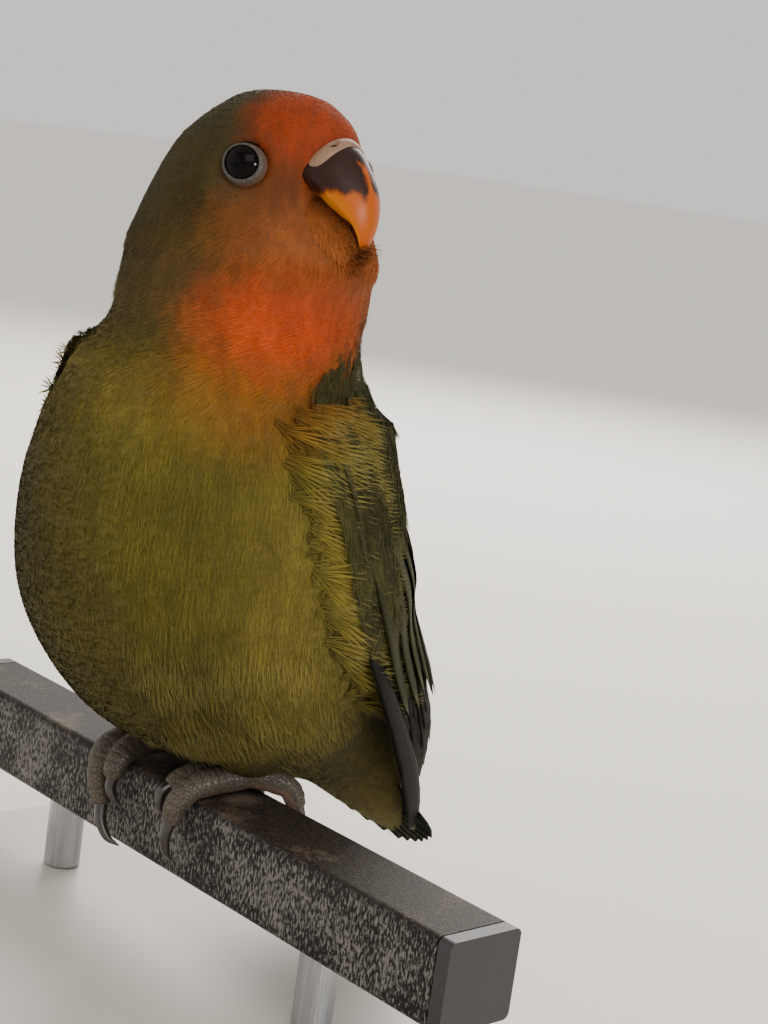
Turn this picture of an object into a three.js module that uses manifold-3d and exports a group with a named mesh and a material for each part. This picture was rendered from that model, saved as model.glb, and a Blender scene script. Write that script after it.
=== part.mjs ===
// A life-size peach faced lovebird, gripping a short length of square bar that a plain display stand holds.
// Millimetres, +Z up. The bar runs along X and the bird's breast faces -Y, with its head turned over its left side.
// The origin is the middle of the stand's underside.

import * as THREE from "three";
import { mergeVertices } from "three/addons/utils/BufferGeometryUtils.js";
import Module from "manifold-3d";

const wasm = await Module();
wasm.setup();

// Driving sizes of the stand, the bar and the clearances
const GAP = 0.3;
const BASE = { length: 124, width: 96, thick: 8, corner: 12 };
const ROD = { radius: 3.2, length: 14, apart: 70, sides: 20 };
const BAR = { side: 14, length: 136, corner: 1.1, cap: 2.5 };
const BAR_TOP = BASE.thick + ROD.length + BAR.side;

const rad = THREE.MathUtils.degToRad;
const lerp = THREE.MathUtils.lerp;
const vec = (x, y, z) => new THREE.Vector3(x, y, z);

// Solids: a closed triangle list becomes a manifold, turned the right way out

function solidFrom(points, triangles) {
  const size = (t) => points[t[0]].dot(points[t[1]].clone().cross(points[t[2]]));
  const outward = triangles.reduce((sum, t) => sum + size(t), 0) > 0;
  const faces = outward ? triangles : triangles.map(([a, b, c]) => [a, c, b]);
  const vertProperties = new Float32Array(points.flatMap((p) => p.toArray()));
  const triVerts = new Uint32Array(faces.flat());
  return new wasm.Manifold(new wasm.Mesh({ numProp: 3, vertProperties, triVerts }));
}

function solidOf(geometry, matrix = new THREE.Matrix4()) {
  const bare = geometry.clone().applyMatrix4(matrix);
  bare.deleteAttribute("normal");
  bare.deleteAttribute("uv");
  const merged = mergeVertices(bare, 1e-4);
  const at = merged.attributes.position;
  const points = Array.from({ length: at.count }, (_, i) => new THREE.Vector3().fromBufferAttribute(at, i));
  const index = Array.from(merged.index.array);
  const triangles = [];
  for (let i = 0; i < index.length; i += 3) triangles.push(index.slice(i, i + 3));
  return solidFrom(points, triangles);
}

// Rings of equal count joined into one closed surface, with a point at each end
function loft(rings, first, last) {
  const sides = rings[0].length;
  const points = [first, ...rings.flat(), last];
  const end = points.length - 1;
  const id = (ring, side) => 1 + ring * sides + (side % sides);
  const triangles = [];
  for (let s = 0; s < sides; s++) {
    triangles.push([0, id(0, s + 1), id(0, s)]);
    triangles.push([end, id(rings.length - 1, s), id(rings.length - 1, s + 1)]);
    for (let r = 0; r + 1 < rings.length; r++) {
      triangles.push([id(r, s), id(r, s + 1), id(r + 1, s + 1)]);
      triangles.push([id(r, s), id(r + 1, s + 1), id(r + 1, s)]);
    }
  }
  return solidFrom(points, triangles);
}

const join = (solids) => solids.reduce((a, b) => a.add(b));
const cut = (solid, ...tools) => tools.reduce((a, b) => a.subtract(b), solid);
const largest = (solid) => solid.decompose().reduce((a, b) => (a.volume() > b.volume() ? a : b));
const trim = (solid, normal, through) => solid.trimByPlane(normal.toArray(), normal.dot(through));

// A round limb along a curve through the points, with a radius at each point
function limb(points, radii, { sides = 12, steps = 10, swell = 0 } = {}) {
  const curve = new THREE.CatmullRomCurve3(points);
  const size = new THREE.CatmullRomCurve3(radii.map((r) => vec(r, 0, 0)));
  const frames = curve.computeFrenetFrames(steps, false);
  const ring = (k) => {
    const centre = curve.getPointAt(k / steps);
    const radius = size.getPoint(k / steps).x + swell;
    return Array.from({ length: sides }, (_, s) => {
      const turn = (s / sides) * 2 * Math.PI;
      return centre
        .clone()
        .addScaledVector(frames.normals[k], radius * Math.cos(turn))
        .addScaledVector(frames.binormals[k], radius * Math.sin(turn));
    });
  };
  const rings = Array.from({ length: steps + 1 }, (_, k) => ring(k));
  const domed = 0.5;
  const first = points[0].clone().addScaledVector(frames.tangents[0], -domed * (radii[0] + swell));
  const last = points
    .at(-1)
    .clone()
    .addScaledVector(frames.tangents[steps], domed * (radii.at(-1) + swell));
  return loft(rings, first, last);
}

// Trunk: one skin of feathers over tail root, body, neck and head, as stations from the tail root to the crown.
// Each has its centre, the pitch and heading of its fore direction, its half width, and its reach fore and aft.
const STATIONS = [
  { at: [1.8, 40, -10.4], pitch: -44, heading: 2, half: 6.4, fore: 2.8, aft: 1.2 },
  { at: [1.2, 35, -3.8], pitch: -47, heading: 2, half: 10, fore: 6.1, aft: 3.2 },
  { at: [-0.6, 28, 5], pitch: -45, heading: 4, half: 15.5, fore: 10.6, aft: 8.5 },
  { at: [-2.2, 15.5, 13], pitch: -42, heading: 7, half: 22.5, fore: 17, aft: 14 },
  { at: [-2.4, 10.3, 18], pitch: -37, heading: 9, half: 26, fore: 22, aft: 17 },
  { at: [-2.6, 5, 24], pitch: -30, heading: 11, half: 28.5, fore: 26, aft: 20 },
  { at: [-2.6, -0.5, 34], pitch: -18, heading: 13, half: 30.3, fore: 29, aft: 23 },
  { at: [-2.5, -3.2, 45], pitch: -9, heading: 14, half: 30, fore: 29, aft: 24 },
  { at: [-2.8, -4.6, 56], pitch: -2, heading: 15, half: 28, fore: 26.5, aft: 22.5 },
  { at: [-3, -4, 66], pitch: 2, heading: 18, half: 23.6, fore: 22.5, aft: 19.5 },
  { at: [-2, -2, 74], pitch: 0, heading: 42, half: 20.6, fore: 20, aft: 19.5 },
  { at: [-2, -1, 80.5], pitch: 0, heading: 75, half: 20.4, fore: 20, aft: 21 },
  { at: [-2, -0.5, 86], pitch: 0, heading: 90, half: 19, fore: 21.8, aft: 22.2 },
  { at: [-1.5, 0, 90.5], pitch: 0, heading: 95, half: 17.8, fore: 18.6, aft: 21.5 },
  { at: [-1, 0, 94.5], pitch: 0, heading: 96, half: 16.8, fore: 14.6, aft: 20 },
  { at: [-0.5, 0, 99], pitch: 0, heading: 96, half: 15.8, fore: 15, aft: 18 },
  { at: [0, 0, 103], pitch: 0, heading: 96, half: 14, fore: 15.6, aft: 15.8 },
  { at: [0.8, 0, 106.8], pitch: 0, heading: 96, half: 11, fore: 13.6, aft: 12.6 },
  { at: [1, 0, 109.6], pitch: 0, heading: 96, half: 7, fore: 9.4, aft: 8.6 },
];
const TAIL_POLE = vec(1.9, 41.8, -12.6);
const CROWN_POLE = vec(1, 0, 111);
const TRUNK = { sides: 28, rings: 30 };

const stationAt = new THREE.CatmullRomCurve3(STATIONS.map((s) => vec(...s.at)), false, "catmullrom");
const stationTurn = new THREE.CatmullRomCurve3(STATIONS.map((s) => vec(s.pitch, s.heading, 0)), false, "catmullrom");
const stationReach = new THREE.CatmullRomCurve3(
  STATIONS.map((s) => vec(s.half, s.fore, s.aft)),
  false,
  "catmullrom",
);

// A point on the trunk: station counts from the tail root, angle is 0 on the left side, 90 in front
function trunkPoint(station, angle, swell = 0) {
  const share = station / (STATIONS.length - 1);
  const turn = stationTurn.getPoint(share);
  const reach = stationReach.getPoint(share);
  const pitch = rad(turn.x);
  const heading = rad(turn.y);
  const side = vec(Math.cos(heading), Math.sin(heading), 0);
  const fore = vec(Math.sin(heading) * Math.cos(pitch), -Math.cos(heading) * Math.cos(pitch), Math.sin(pitch));
  const across = Math.cos(rad(angle));
  const along = Math.sin(rad(angle));
  const depth = (along > 0 ? reach.y : reach.z) + swell;
  return stationAt
    .getPoint(share)
    .addScaledVector(side, (reach.x + swell) * across)
    .addScaledVector(fore, depth * along);
}

function trunkSolid(swell = 0) {
  const rings = Array.from({ length: TRUNK.rings }, (_, k) => {
    const station = (k / (TRUNK.rings - 1)) * (STATIONS.length - 1);
    const heading = stationTurn.getPoint(station / (STATIONS.length - 1)).y;
    return Array.from({ length: TRUNK.sides }, (_, s) => trunkPoint(station, (s / TRUNK.sides) * 360 + heading, swell));
  });
  const tail = TAIL_POLE.clone().add(vec(0, swell, -swell));
  const crown = CROWN_POLE.clone().add(vec(0, 0, swell));
  return loft(rings, tail, crown);
}

// Head frame: forward, left and up from the middle of the head, tipped up a little
const HEAD = { at: vec(0, 0, 95), heading: 96, tip: 3 };
const headForward = vec(Math.sin(rad(HEAD.heading)), -Math.cos(rad(HEAD.heading)), 0);
const headLeft = vec(0, 0, 1).cross(headForward);
const headAxes = {
  forward: headForward.clone().multiplyScalar(Math.cos(rad(HEAD.tip))).add(vec(0, 0, Math.sin(rad(HEAD.tip)))),
  up: vec(0, 0, Math.cos(rad(HEAD.tip))).addScaledVector(headForward, -Math.sin(rad(HEAD.tip))),
};
const headPoint = (forward, left, up) =>
  HEAD.at
    .clone()
    .addScaledVector(headAxes.forward, forward)
    .addScaledVector(headLeft, left)
    .addScaledVector(headAxes.up, up);

// Bill: each section runs from its ridge point to its edge point in the head's forward and up directions
const BILL = [
  { ridge: [11.5, 7.0], edge: [9.5, 0.4], half: 6.1 },
  { ridge: [16.4, 7.2], edge: [13.0, 0.2], half: 6.0 },
  { ridge: [19.2, 5.6], edge: [15.6, -1.4], half: 5.5 },
  { ridge: [21.3, 2.8], edge: [17.8, -2.8], half: 4.7 },
  { ridge: [22.3, -0.6], edge: [19.2, -4.0], half: 3.7 },
  { ridge: [22.2, -3.4], edge: [19.9, -5.1], half: 2.6 },
  { ridge: [21.5, -5.3], edge: [20.2, -6.2], half: 1.4 },
];
const BILL_TIP = [20.2, -7.3];
const LOWER_BILL = [
  { ridge: [9.5, 0.4], edge: [9.5, -5.6], half: 4.8 },
  { ridge: [13.2, -0.4], edge: [12.8, -6.4], half: 4.5 },
  { ridge: [16.0, -2.0], edge: [15.6, -6.9], half: 3.6 },
  { ridge: [17.9, -3.8], edge: [17.6, -6.7], half: 2.5 },
];
const LOWER_BILL_TIP = [18.9, -5.6];
const CERE = { proud: 0.8, from: 0.6, to: 1.3 };
const NOSTRIL = { forward: 15.6, left: 2.6, up: 7.6, radius: 0.75 };

// A bill half as a loft of rounded sections, narrow at the ridge and full at the edge
function billSolid(sections, tip, { swell = 0, from = 0, to = sections.length - 1, steps = 11, sides = 16 } = {}) {
  const ridge = new THREE.CatmullRomCurve3(sections.map((s) => vec(s.ridge[0], 0, s.ridge[1])));
  const edge = new THREE.CatmullRomCurve3(sections.map((s) => vec(s.edge[0], 0, s.edge[1])));
  const half = new THREE.CatmullRomCurve3(sections.map((s) => vec(s.half, 0, 0)));
  const ring = (share) => {
    const top = ridge.getPoint(share);
    const bottom = edge.getPoint(share);
    const middle = top.clone().lerp(bottom, 0.5);
    const reach = top.clone().sub(bottom).multiplyScalar(0.5);
    const long = reach.length() + swell;
    reach.normalize();
    const wide = half.getPoint(share).x + swell;
    return Array.from({ length: sides }, (_, s) => {
      const turn = (s / sides) * 2 * Math.PI;
      const lift = Math.cos(turn);
      const side = Math.sin(turn) * (1 - 0.16 * lift);
      return headPoint(middle.x + reach.x * long * lift, wide * side, middle.z + reach.z * long * lift);
    });
  };
  const rings = Array.from({ length: steps + 1 }, (_, k) =>
    ring(lerp(from, to, k / steps) / (sections.length - 1)),
  );
  const middleOf = (r) => r.reduce((a, b) => a.add(b), vec(0, 0, 0)).multiplyScalar(1 / r.length);
  const last = to === sections.length - 1 ? headPoint(tip[0], 0, tip[1] - swell) : middleOf(rings.at(-1));
  return loft(rings, middleOf(rings[0]), last);
}

// Eyes: a ball sunk in a socket, with a raised ring of bare lid round it
const EYE = { at: [6.9, 13.4, 4.5], aim: [0.42, 0.9, 0.12], ball: 3.4, sunk: 2.1, lid: 2.95, lidTube: 0.62, lidLift: 0.1 };

function eyeSolids(hand) {
  const [forward, left, up] = EYE.at;
  const skin = headPoint(forward, left * hand, up);
  const out = headPoint(EYE.aim[0], EYE.aim[1] * hand, EYE.aim[2]).sub(HEAD.at).normalize();
  const centre = skin.clone().addScaledVector(out, -EYE.sunk);
  const place = (at) => new THREE.Matrix4().makeTranslation(at);
  const ball = (radius) => solidOf(new THREE.SphereGeometry(radius, 16, 10), place(centre));
  const turn = new THREE.Quaternion().setFromUnitVectors(vec(0, 0, 1), out);
  const ringAt = skin.clone().addScaledVector(out, EYE.lidLift);
  const lid = solidOf(
    new THREE.TorusGeometry(EYE.lid, EYE.lidTube, 5, 18),
    new THREE.Matrix4().compose(ringAt, turn, vec(1, 1, 1)),
  );
  return { ball: ball(EYE.ball), socket: ball(EYE.ball + GAP), lid };
}

// Feathers: a flat vane that bows from root to tip, its two faces split alike
const VANE_SHAPES = {
  flight: [0.6, 1, 0.9, 0.24],
  tail: [0.5, 0.9, 1, 0.84, 0.34],
  covert: [0.7, 1, 0.82, 0.28],
};

function vane({ root, tip, rootNormal, tipNormal, bow, half, thick, tilt = 0, shape }) {
  const profile = VANE_SHAPES[shape];
  const normalAt = (s) => rootNormal.clone().lerp(tipNormal, s).normalize();
  const control = root.clone().lerp(tip, 0.5).addScaledVector(normalAt(0.5), 2 * bow);
  const curve = new THREE.QuadraticBezierCurve3(root, control, tip);
  const rings = profile.map((share, k) => {
    const s = k / (profile.length - 1);
    const centre = curve.getPoint(s);
    const tangent = curve.getTangent(s);
    const across = normalAt(s).cross(tangent).normalize();
    const normal = tangent.clone().cross(across).normalize();
    across.applyAxisAngle(tangent, rad(tilt));
    normal.applyAxisAngle(tangent, rad(tilt));
    const wide = half * share;
    const deep = (thick / 2) * (s > 0.9 ? 0.6 : 1);
    const corner = (a, n) => centre.clone().addScaledVector(across, a * wide).addScaledVector(normal, n * deep);
    return [corner(1, 1), corner(-1, 1), corner(-1, -1), corner(1, -1)];
  });
  const points = rings.flat();
  const id = (ring, c) => ring * 4 + c;
  const triangles = [];
  for (let r = 0; r + 1 < rings.length; r++) {
    const [a, b, c, d] = [id(r, 0), id(r, 1), id(r, 2), id(r, 3)];
    const [e, f, g, h] = [id(r + 1, 0), id(r + 1, 1), id(r + 1, 2), id(r + 1, 3)];
    triangles.push([a, b, f], [a, f, e], [c, d, g], [d, h, g]);
    triangles.push([b, c, f], [c, g, f], [d, a, h], [a, e, h]);
  }
  const end = rings.length - 1;
  triangles.push([id(0, 0), id(0, 2), id(0, 1)], [id(0, 0), id(0, 3), id(0, 2)]);
  triangles.push([id(end, 0), id(end, 1), id(end, 2)], [id(end, 0), id(end, 2), id(end, 3)]);
  return solidFrom(points, triangles);
}

// Folded wing: a curved panel between its lower and upper edges, drawn for the left side. It lies close to the body
// at the bend of the wing and stands fuller behind it.
// Along runs from the bend of the wing to the tips of the flight feathers, up from the lower edge to the back.
const WING_BULGE = { shoulder: 8.9, tips: 3.4, bend: 0.67, full: 0.2 };
// Both edges follow the trunk as far as the rump, as station and angle, and then run free to the tips,
// as sideways, backward and upward from the rump's own axis.
const RUMP = { at: vec(0.8, 0, 0), heading: 2 };
const WING_LOWER = {
  onTrunk: [[9.2, 20], [8.4, 12], [7.2, 5], [6, -1], [4.7, -8]],
  free: [[18.8, 27.5, 5.6], [12, 39.2, -7.8]],
};
const WING_UPPER = {
  onTrunk: [[9.5, -48], [8.9, -70], [8, -83], [6.9, -87], [5.7, -88]],
  free: [[4.4, 35, 18], [4.6, 45.5, -0.8]],
};

function rumpPoint(side, back, up) {
  const heading = rad(RUMP.heading);
  return RUMP.at
    .clone()
    .add(vec(Math.cos(heading) * side - Math.sin(heading) * back, Math.sin(heading) * side + Math.cos(heading) * back, up));
}

// The panel of one wing: hand is 1 for the left, -1 for the right
function wingPanel(hand) {
  const edge = ({ onTrunk, free }) =>
    new THREE.CatmullRomCurve3([
      ...onTrunk.map(([station, angle]) => trunkPoint(station, hand > 0 ? angle : 180 - angle)),
      ...free.map(([side, back, up]) => rumpPoint(side * hand, back, up)),
    ]);
  const lower = edge(WING_LOWER);
  const upper = edge(WING_UPPER);
  const ruled = (a, b) => lower.getPoint(a).lerp(upper.getPoint(a), b);
  return (along, up, lift = 0) => {
    const a = THREE.MathUtils.clamp(along, 0.002, 0.998);
    const step = 0.002;
    const down = ruled(a + step, up).sub(ruled(a - step, up));
    const over = ruled(a, 1).sub(ruled(a, 0));
    const flat = over.clone().cross(down).normalize().multiplyScalar(-hand);
    const settled = lerp(WING_BULGE.bend, 1, THREE.MathUtils.smoothstep(a, 0, WING_BULGE.full));
    const bulge = lerp(WING_BULGE.shoulder, WING_BULGE.tips, a * a) * settled;
    const arch = Math.PI * THREE.MathUtils.clamp(up, 0, 1);
    const slope = (bulge * Math.PI * Math.cos(arch)) / over.length();
    const normal = flat.clone().addScaledVector(over.normalize(), -slope).normalize();
    return { at: ruled(a, up).addScaledVector(flat, bulge * Math.sin(arch) + lift), normal };
  };
}

// Each tier goes from the lower edge to the back: where its roots and tips start and end, along and up the panel
const WING_TIERS = [
  { count: 7, root: [0.42, 0.4, 0.16, 0.7], tip: [0.99, 0.85, 0.07, 0.4], lift: 0.4, half: 3.6, shape: "flight", bow: 0.6 },
  { count: 7, root: [0.3, 0.26, 0.1, 0.88], tip: [0.76, 0.88, 0.08, 0.9], lift: 1.4, half: 3.9, shape: "flight", bow: 0.8 },
  { count: 6, root: [0.18, 0.16, 0.06, 0.9], tip: [0.52, 0.5, 0.04, 0.92], lift: 2.3, half: 4, shape: "covert", bow: 0.6 },
  { count: 5, root: [0.07, 0.07, 0.1, 0.9], tip: [0.33, 0.32, 0.06, 0.92], lift: 3, half: 4, shape: "covert", bow: 0.5 },
];
const VANE = { thick: 0.55, tilt: 15 };
const WING_CORE = { from: 0.0, to: 0.52, low: 0.02, high: 0.98, inner: 2.4, outer: 2.4, steps: 9, sides: 16 };

function wingCore(panel) {
  const ring = (k) => {
    const share = k / WING_CORE.steps;
    const along = lerp(WING_CORE.from, WING_CORE.to, share);
    const full = Math.sqrt(Math.sin(Math.PI * (0.06 + 0.88 * share)));
    return Array.from({ length: WING_CORE.sides }, (_, s) => {
      const turn = (s / WING_CORE.sides) * 2 * Math.PI;
      const up = 0.5 + ((WING_CORE.high - WING_CORE.low) / 2) * Math.cos(turn) * Math.min(1, full + 0.1);
      const reach = Math.sin(turn) > 0 ? WING_CORE.outer : WING_CORE.inner;
      return panel(along, up, reach * Math.sin(turn) * full).at;
    });
  };
  const rings = Array.from({ length: WING_CORE.steps + 1 }, (_, k) => ring(k));
  const middle = (r) => r.reduce((a, b) => a.add(b), vec(0, 0, 0)).multiplyScalar(1 / r.length);
  return loft(rings, middle(rings[0]), middle(rings.at(-1)));
}

function wingVanes(panel, hand) {
  return WING_TIERS.flatMap((tier) =>
    Array.from({ length: tier.count }, (_, i) => {
      const k = i / (tier.count - 1);
      const [rootFrom, rootTo, rootLow, rootHigh] = tier.root;
      const [tipFrom, tipTo, tipLow, tipHigh] = tier.tip;
      const root = panel(lerp(rootFrom, rootTo, k), lerp(rootLow, rootHigh, k), tier.lift * 0.5);
      const tip = panel(lerp(tipFrom, tipTo, k), lerp(tipLow, tipHigh, k), tier.lift);
      return vane({
        root: root.at,
        tip: tip.at,
        rootNormal: root.normal,
        tipNormal: tip.normal,
        bow: tier.bow,
        half: tier.half,
        thick: VANE.thick,
        tilt: -hand * VANE.tilt,
        shape: tier.shape,
      });
    }),
  );
}

function wingSolid(hand) {
  const panel = wingPanel(hand);
  return join([wingCore(panel), ...wingVanes(panel, hand)]);
}

// Tail: twelve feathers in a shallow fan, the middle pair longest and on top
const TAIL = { pairs: 6, root: [1.5, 26.6, 10.8], length: 33, pitch: -53, spread: 22, half: 3.9, step: 0.35 };
const TAIL_CUT = vec(0, 31, 4);

function tailSolid(trunk, swell = 0) {
  const heading = rad(RUMP.heading);
  const side = vec(Math.cos(heading), Math.sin(heading), 0);
  const back = vec(-Math.sin(heading), Math.cos(heading), 0);
  const vanes = [];
  for (let pair = 0; pair < TAIL.pairs; pair++) {
    for (const hand of [-1, 1]) {
      const spread = hand * rad(((pair + 0.5) / TAIL.pairs) * TAIL.spread);
      const aim = back
        .clone()
        .multiplyScalar(Math.cos(rad(TAIL.pitch)) * Math.cos(spread))
        .addScaledVector(side, Math.sin(spread))
        .add(vec(0, 0, Math.sin(rad(TAIL.pitch)) * Math.cos(spread)));
      const normal = side.clone().cross(aim).normalize();
      const drop = -TAIL.step * (pair + (hand > 0 ? 0.45 : 0));
      const root = vec(...TAIL.root)
        .addScaledVector(side, hand * (0.5 + 0.5 * pair))
        .addScaledVector(normal, drop);
      const tip = root.clone().addScaledVector(aim, TAIL.length * (1 - 0.035 * pair));
      vanes.push(
        vane({
          root,
          tip,
          rootNormal: normal,
          tipNormal: normal.clone().addScaledVector(side, hand * 0.12),
          bow: -0.6,
          half: TAIL.half + swell,
          thick: 0.6 + 2 * swell,
          tilt: -hand * 3,
          shape: "tail",
        }),
      );
    }
  }
  return join([trunk, ...vanes]);
}

// Feet: on each two toes go forward and two back, pads pressed on the bar, claws hooked over its edges.
// The paths are measured from the middle of the bar's top face.
const FEET = {
  left: {
    tarsus: [vec(8.5, 3, 3.4), vec(9, 6.8, 8), vec(9, 9.2, 14), vec(9, 10, 20)],
    toes: {
      outer_front: {
        path: [vec(8.6, 4, 3.2), vec(8.5, -2.6, 2.7), vec(8.1, -7.2, 1.9), vec(7.4, -9.6, -1), vec(7, -9.5, -3.6)],
        claw: [vec(7, -9.5, -2.8), vec(6.6, -10.3, -6), vec(6.5, -9.7, -9), vec(6.6, -8.4, -10.8)],
      },
      inner_front: {
        path: [vec(7.2, 2.4, 3.1), vec(5.2, -2, 2.6), vec(4.3, -5.6, 2.3), vec(4, -8.3, 1)],
        claw: [vec(4, -7.8, 1.4), vec(3.8, -9.9, 0), vec(3.9, -9.9, -2.4), vec(4.1, -8.6, -4.2)],
      },
      outer_back: {
        path: [vec(8.8, 2.6, 3.6), vec(11.5, 5.4, 3), vec(13.6, 8.2, 1.8), vec(14.4, 9.6, -1.2)],
        claw: [vec(14.3, 9.4, -0.4), vec(14.7, 10.3, -3), vec(14.8, 9.9, -5.6), vec(14.7, 8.5, -7)],
      },
      inner_back: {
        path: [vec(8, 3, 3.4), vec(5.8, 5.6, 2.6), vec(4.8, 8, 1.8), vec(4.4, 9.3, 0)],
        claw: [vec(4.5, 9, 0.6), vec(4.2, 10.2, -1.6), vec(4.2, 9.9, -4), vec(4.3, 8.6, -5.6)],
      },
    },
  },
  right: {
    tarsus: [vec(-12, 2.4, 3.4), vec(-12, 6.2, 8), vec(-12, 8.8, 14), vec(-12, 10, 20)],
    toes: {
      outer_front: {
        path: [vec(-12.4, 3, 3.2), vec(-14, -3, 2.6), vec(-14.4, -7.8, 1.8), vec(-13.8, -9.7, -2.4), vec(-12, -9.6, -7.2)],
        claw: [vec(-12.2, -9.6, -6.4), vec(-10.9, -10.3, -9.8), vec(-8.9, -10, -12.2), vec(-6.9, -9, -13)],
      },
      inner_front: {
        path: [vec(-11.6, 2.4, 3.1), vec(-11, -2.6, 2.6), vec(-10.6, -7, 2), vec(-10, -9.3, -0.6), vec(-9.8, -9.4, -2)],
        claw: [vec(-9.8, -9.4, -1.4), vec(-9.4, -10.2, -3.6), vec(-8.6, -9.8, -5.4), vec(-7.8, -8.7, -6.6)],
      },
      outer_back: {
        path: [vec(-12.4, 2.4, 3.6), vec(-15, 5, 3), vec(-16.8, 8, 1.8), vec(-17.4, 9.6, -1.2)],
        claw: [vec(-17.3, 9.4, -0.4), vec(-17.7, 10.3, -3), vec(-17.8, 9.9, -5.6), vec(-17.7, 8.5, -7)],
      },
      inner_back: {
        path: [vec(-11.6, 2.8, 3.4), vec(-9.4, 5.6, 2.6), vec(-8.4, 8, 1.8), vec(-8, 9.3, 0)],
        claw: [vec(-8.1, 9, 0.6), vec(-7.8, 10.2, -1.6), vec(-7.8, 9.9, -4), vec(-7.9, 8.6, -5.6)],
      },
    },
  },
};
const TOE_RADII = [2.3, 2.15, 2, 1.8, 1.5];
const CLAW_RADII = [1.1, 0.95, 0.65, 0.2];
const TARSUS_RADII = [2.6, 2.1, 2, 2.2];

function footSolids({ tarsus, toes }) {
  const shape = Object.values(toes);
  const all = (swell) => [
    limb(tarsus, TARSUS_RADII, { steps: 4, sides: 8, swell }),
    ...shape.map(({ path }) => limb(path, TOE_RADII.slice(-path.length), { steps: 5, sides: 7, swell })),
  ];
  const claws = (swell) => shape.map(({ claw }) => limb(claw, CLAW_RADII, { steps: 4, sides: 6, swell }));
  const names = Object.keys(toes);
  return {
    body: join(all(0)),
    swollen: join(all(GAP)),
    clearance: join([...all(GAP), ...claws(GAP)]),
    claws: claws(0).map((solid, i) => ({ name: names[i], solid })),
  };
}

// Thigh: the feathered bulge that the foot comes out of
const THIGH = { at: vec(-1.5, 2, 11), apart: 21, reach: vec(7.5, 9.5, 8.4), turn: 9 };

function thighSolid(hand, swell = 0) {
  const size = THIGH.reach.clone().addScalar(swell);
  const turn = new THREE.Quaternion().setFromAxisAngle(vec(0, 0, 1), rad(THIGH.turn));
  const at = vec((THIGH.apart / 2) * hand, 0, 0).applyQuaternion(turn).add(THIGH.at);
  return solidOf(new THREE.SphereGeometry(1, 14, 9), new THREE.Matrix4().compose(at, turn, size));
}

// Bar with rounded long edges, an end cap at each end, and the stand under it
function barOutline(swell = 0) {
  const half = BAR.side / 2 + swell;
  const corner = BAR.corner;
  const shape = new THREE.Shape();
  shape.moveTo(-half + corner, -half);
  shape.lineTo(half - corner, -half);
  shape.absarc(half - corner, -half + corner, corner, -Math.PI / 2, 0, false);
  shape.absarc(half - corner, half - corner, corner, 0, Math.PI / 2, false);
  shape.absarc(-half + corner, half - corner, corner, Math.PI / 2, Math.PI, false);
  shape.absarc(-half + corner, -half + corner, corner, Math.PI, 1.5 * Math.PI, false);
  return shape;
}

function barSolid(from, to, swell = 0) {
  const geometry = new THREE.ExtrudeGeometry(barOutline(swell), {
    depth: to - from,
    bevelEnabled: false,
    curveSegments: 3,
  });
  const matrix = new THREE.Matrix4()
    .makeTranslation(from, 0, -BAR.side / 2)
    .multiply(new THREE.Matrix4().makeRotationY(Math.PI / 2));
  return solidOf(geometry, matrix);
}

function baseGeometry() {
  const { length, width, corner, thick } = BASE;
  const shape = new THREE.Shape();
  const x = length / 2 - corner;
  const y = width / 2 - corner;
  shape.absarc(x, y, corner, 0, Math.PI / 2, false);
  shape.absarc(-x, y, corner, Math.PI / 2, Math.PI, false);
  shape.absarc(-x, -y, corner, Math.PI, 1.5 * Math.PI, false);
  shape.absarc(x, -y, corner, 1.5 * Math.PI, 2 * Math.PI, false);
  const edge = 1;
  return new THREE.ExtrudeGeometry(shape, {
    depth: thick - 2 * edge,
    bevelThickness: edge,
    bevelSize: edge,
    bevelOffset: -edge,
    bevelSegments: 1,
    curveSegments: 5,
  }).translate(0, 0, edge);
}

// Finishes
const finish = (color, roughness, metalness = 0) => new THREE.MeshStandardMaterial({ color, roughness, metalness });
const FINISH = {
  olive: finish(0x6f7432, 0.8),
  nape: finish(0x5a6238, 0.8),
  face: finish(0xc4552a, 0.8),
  wing: finish(0x4a5a38, 0.7),
  tail: finish(0x3c4a44, 0.7),
  bill: finish(0xd98a2b, 0.35),
  cere: finish(0xc9b09c, 0.6),
  eye: finish(0x120c0a, 0.08),
  foot: finish(0x7d6f5f, 0.75),
  claw: finish(0x241f1c, 0.4),
  bar: finish(0x5b5653, 0.6, 0.3),
  cap: finish(0x262626, 0.5),
  stand: finish(0xd8d5cf, 0.5),
};

// Assembly
const model = new THREE.Group();
const bird = new THREE.Group();
bird.position.z = BAR_TOP;
model.add(bird);

function meshOf(name, solid, material) {
  const made = solid.getMesh();
  const positions = new Float32Array(made.numVert * 3);
  for (let v = 0; v < made.numVert; v++) {
    positions.set(made.vertProperties.subarray(v * made.numProp, v * made.numProp + 3), v * 3);
  }
  const geometry = new THREE.BufferGeometry();
  geometry.setAttribute("position", new THREE.BufferAttribute(positions, 3));
  geometry.setIndex(new THREE.BufferAttribute(made.triVerts, 1));
  const mesh = new THREE.Mesh(geometry, material);
  mesh.name = name;
  return mesh;
}
const add = (name, solid, material) => bird.add(meshOf(name, largest(solid), material));

const trunk = trunkSolid();
const swollenTrunk = trunkSolid(GAP);
const bar = barSolid(-BAR.length / 2 + BAR.cap + GAP, BAR.length / 2 - BAR.cap - GAP);
const swollenBar = barSolid(-BAR.length / 2, BAR.length / 2, GAP);

// Cuts between tail, torso, neck and head
const NECK_LOW = vec(0, 0, 71);
const NECK_HIGH = vec(0, 0, 82);
const upward = vec(0, 0, 1);
const downward = vec(0, 0, -1);
const tailward = vec(0, Math.cos(rad(TAIL.pitch)), Math.sin(rad(TAIL.pitch)));
const shift = (point, normal) => point.clone().addScaledVector(normal, GAP / 2);

const feet = Object.entries(FEET).map(([side, foot]) => ({ side, ...footSolids(foot) }));
const footClearance = join([...feet.map((foot) => foot.clearance), swollenBar]);

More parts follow.
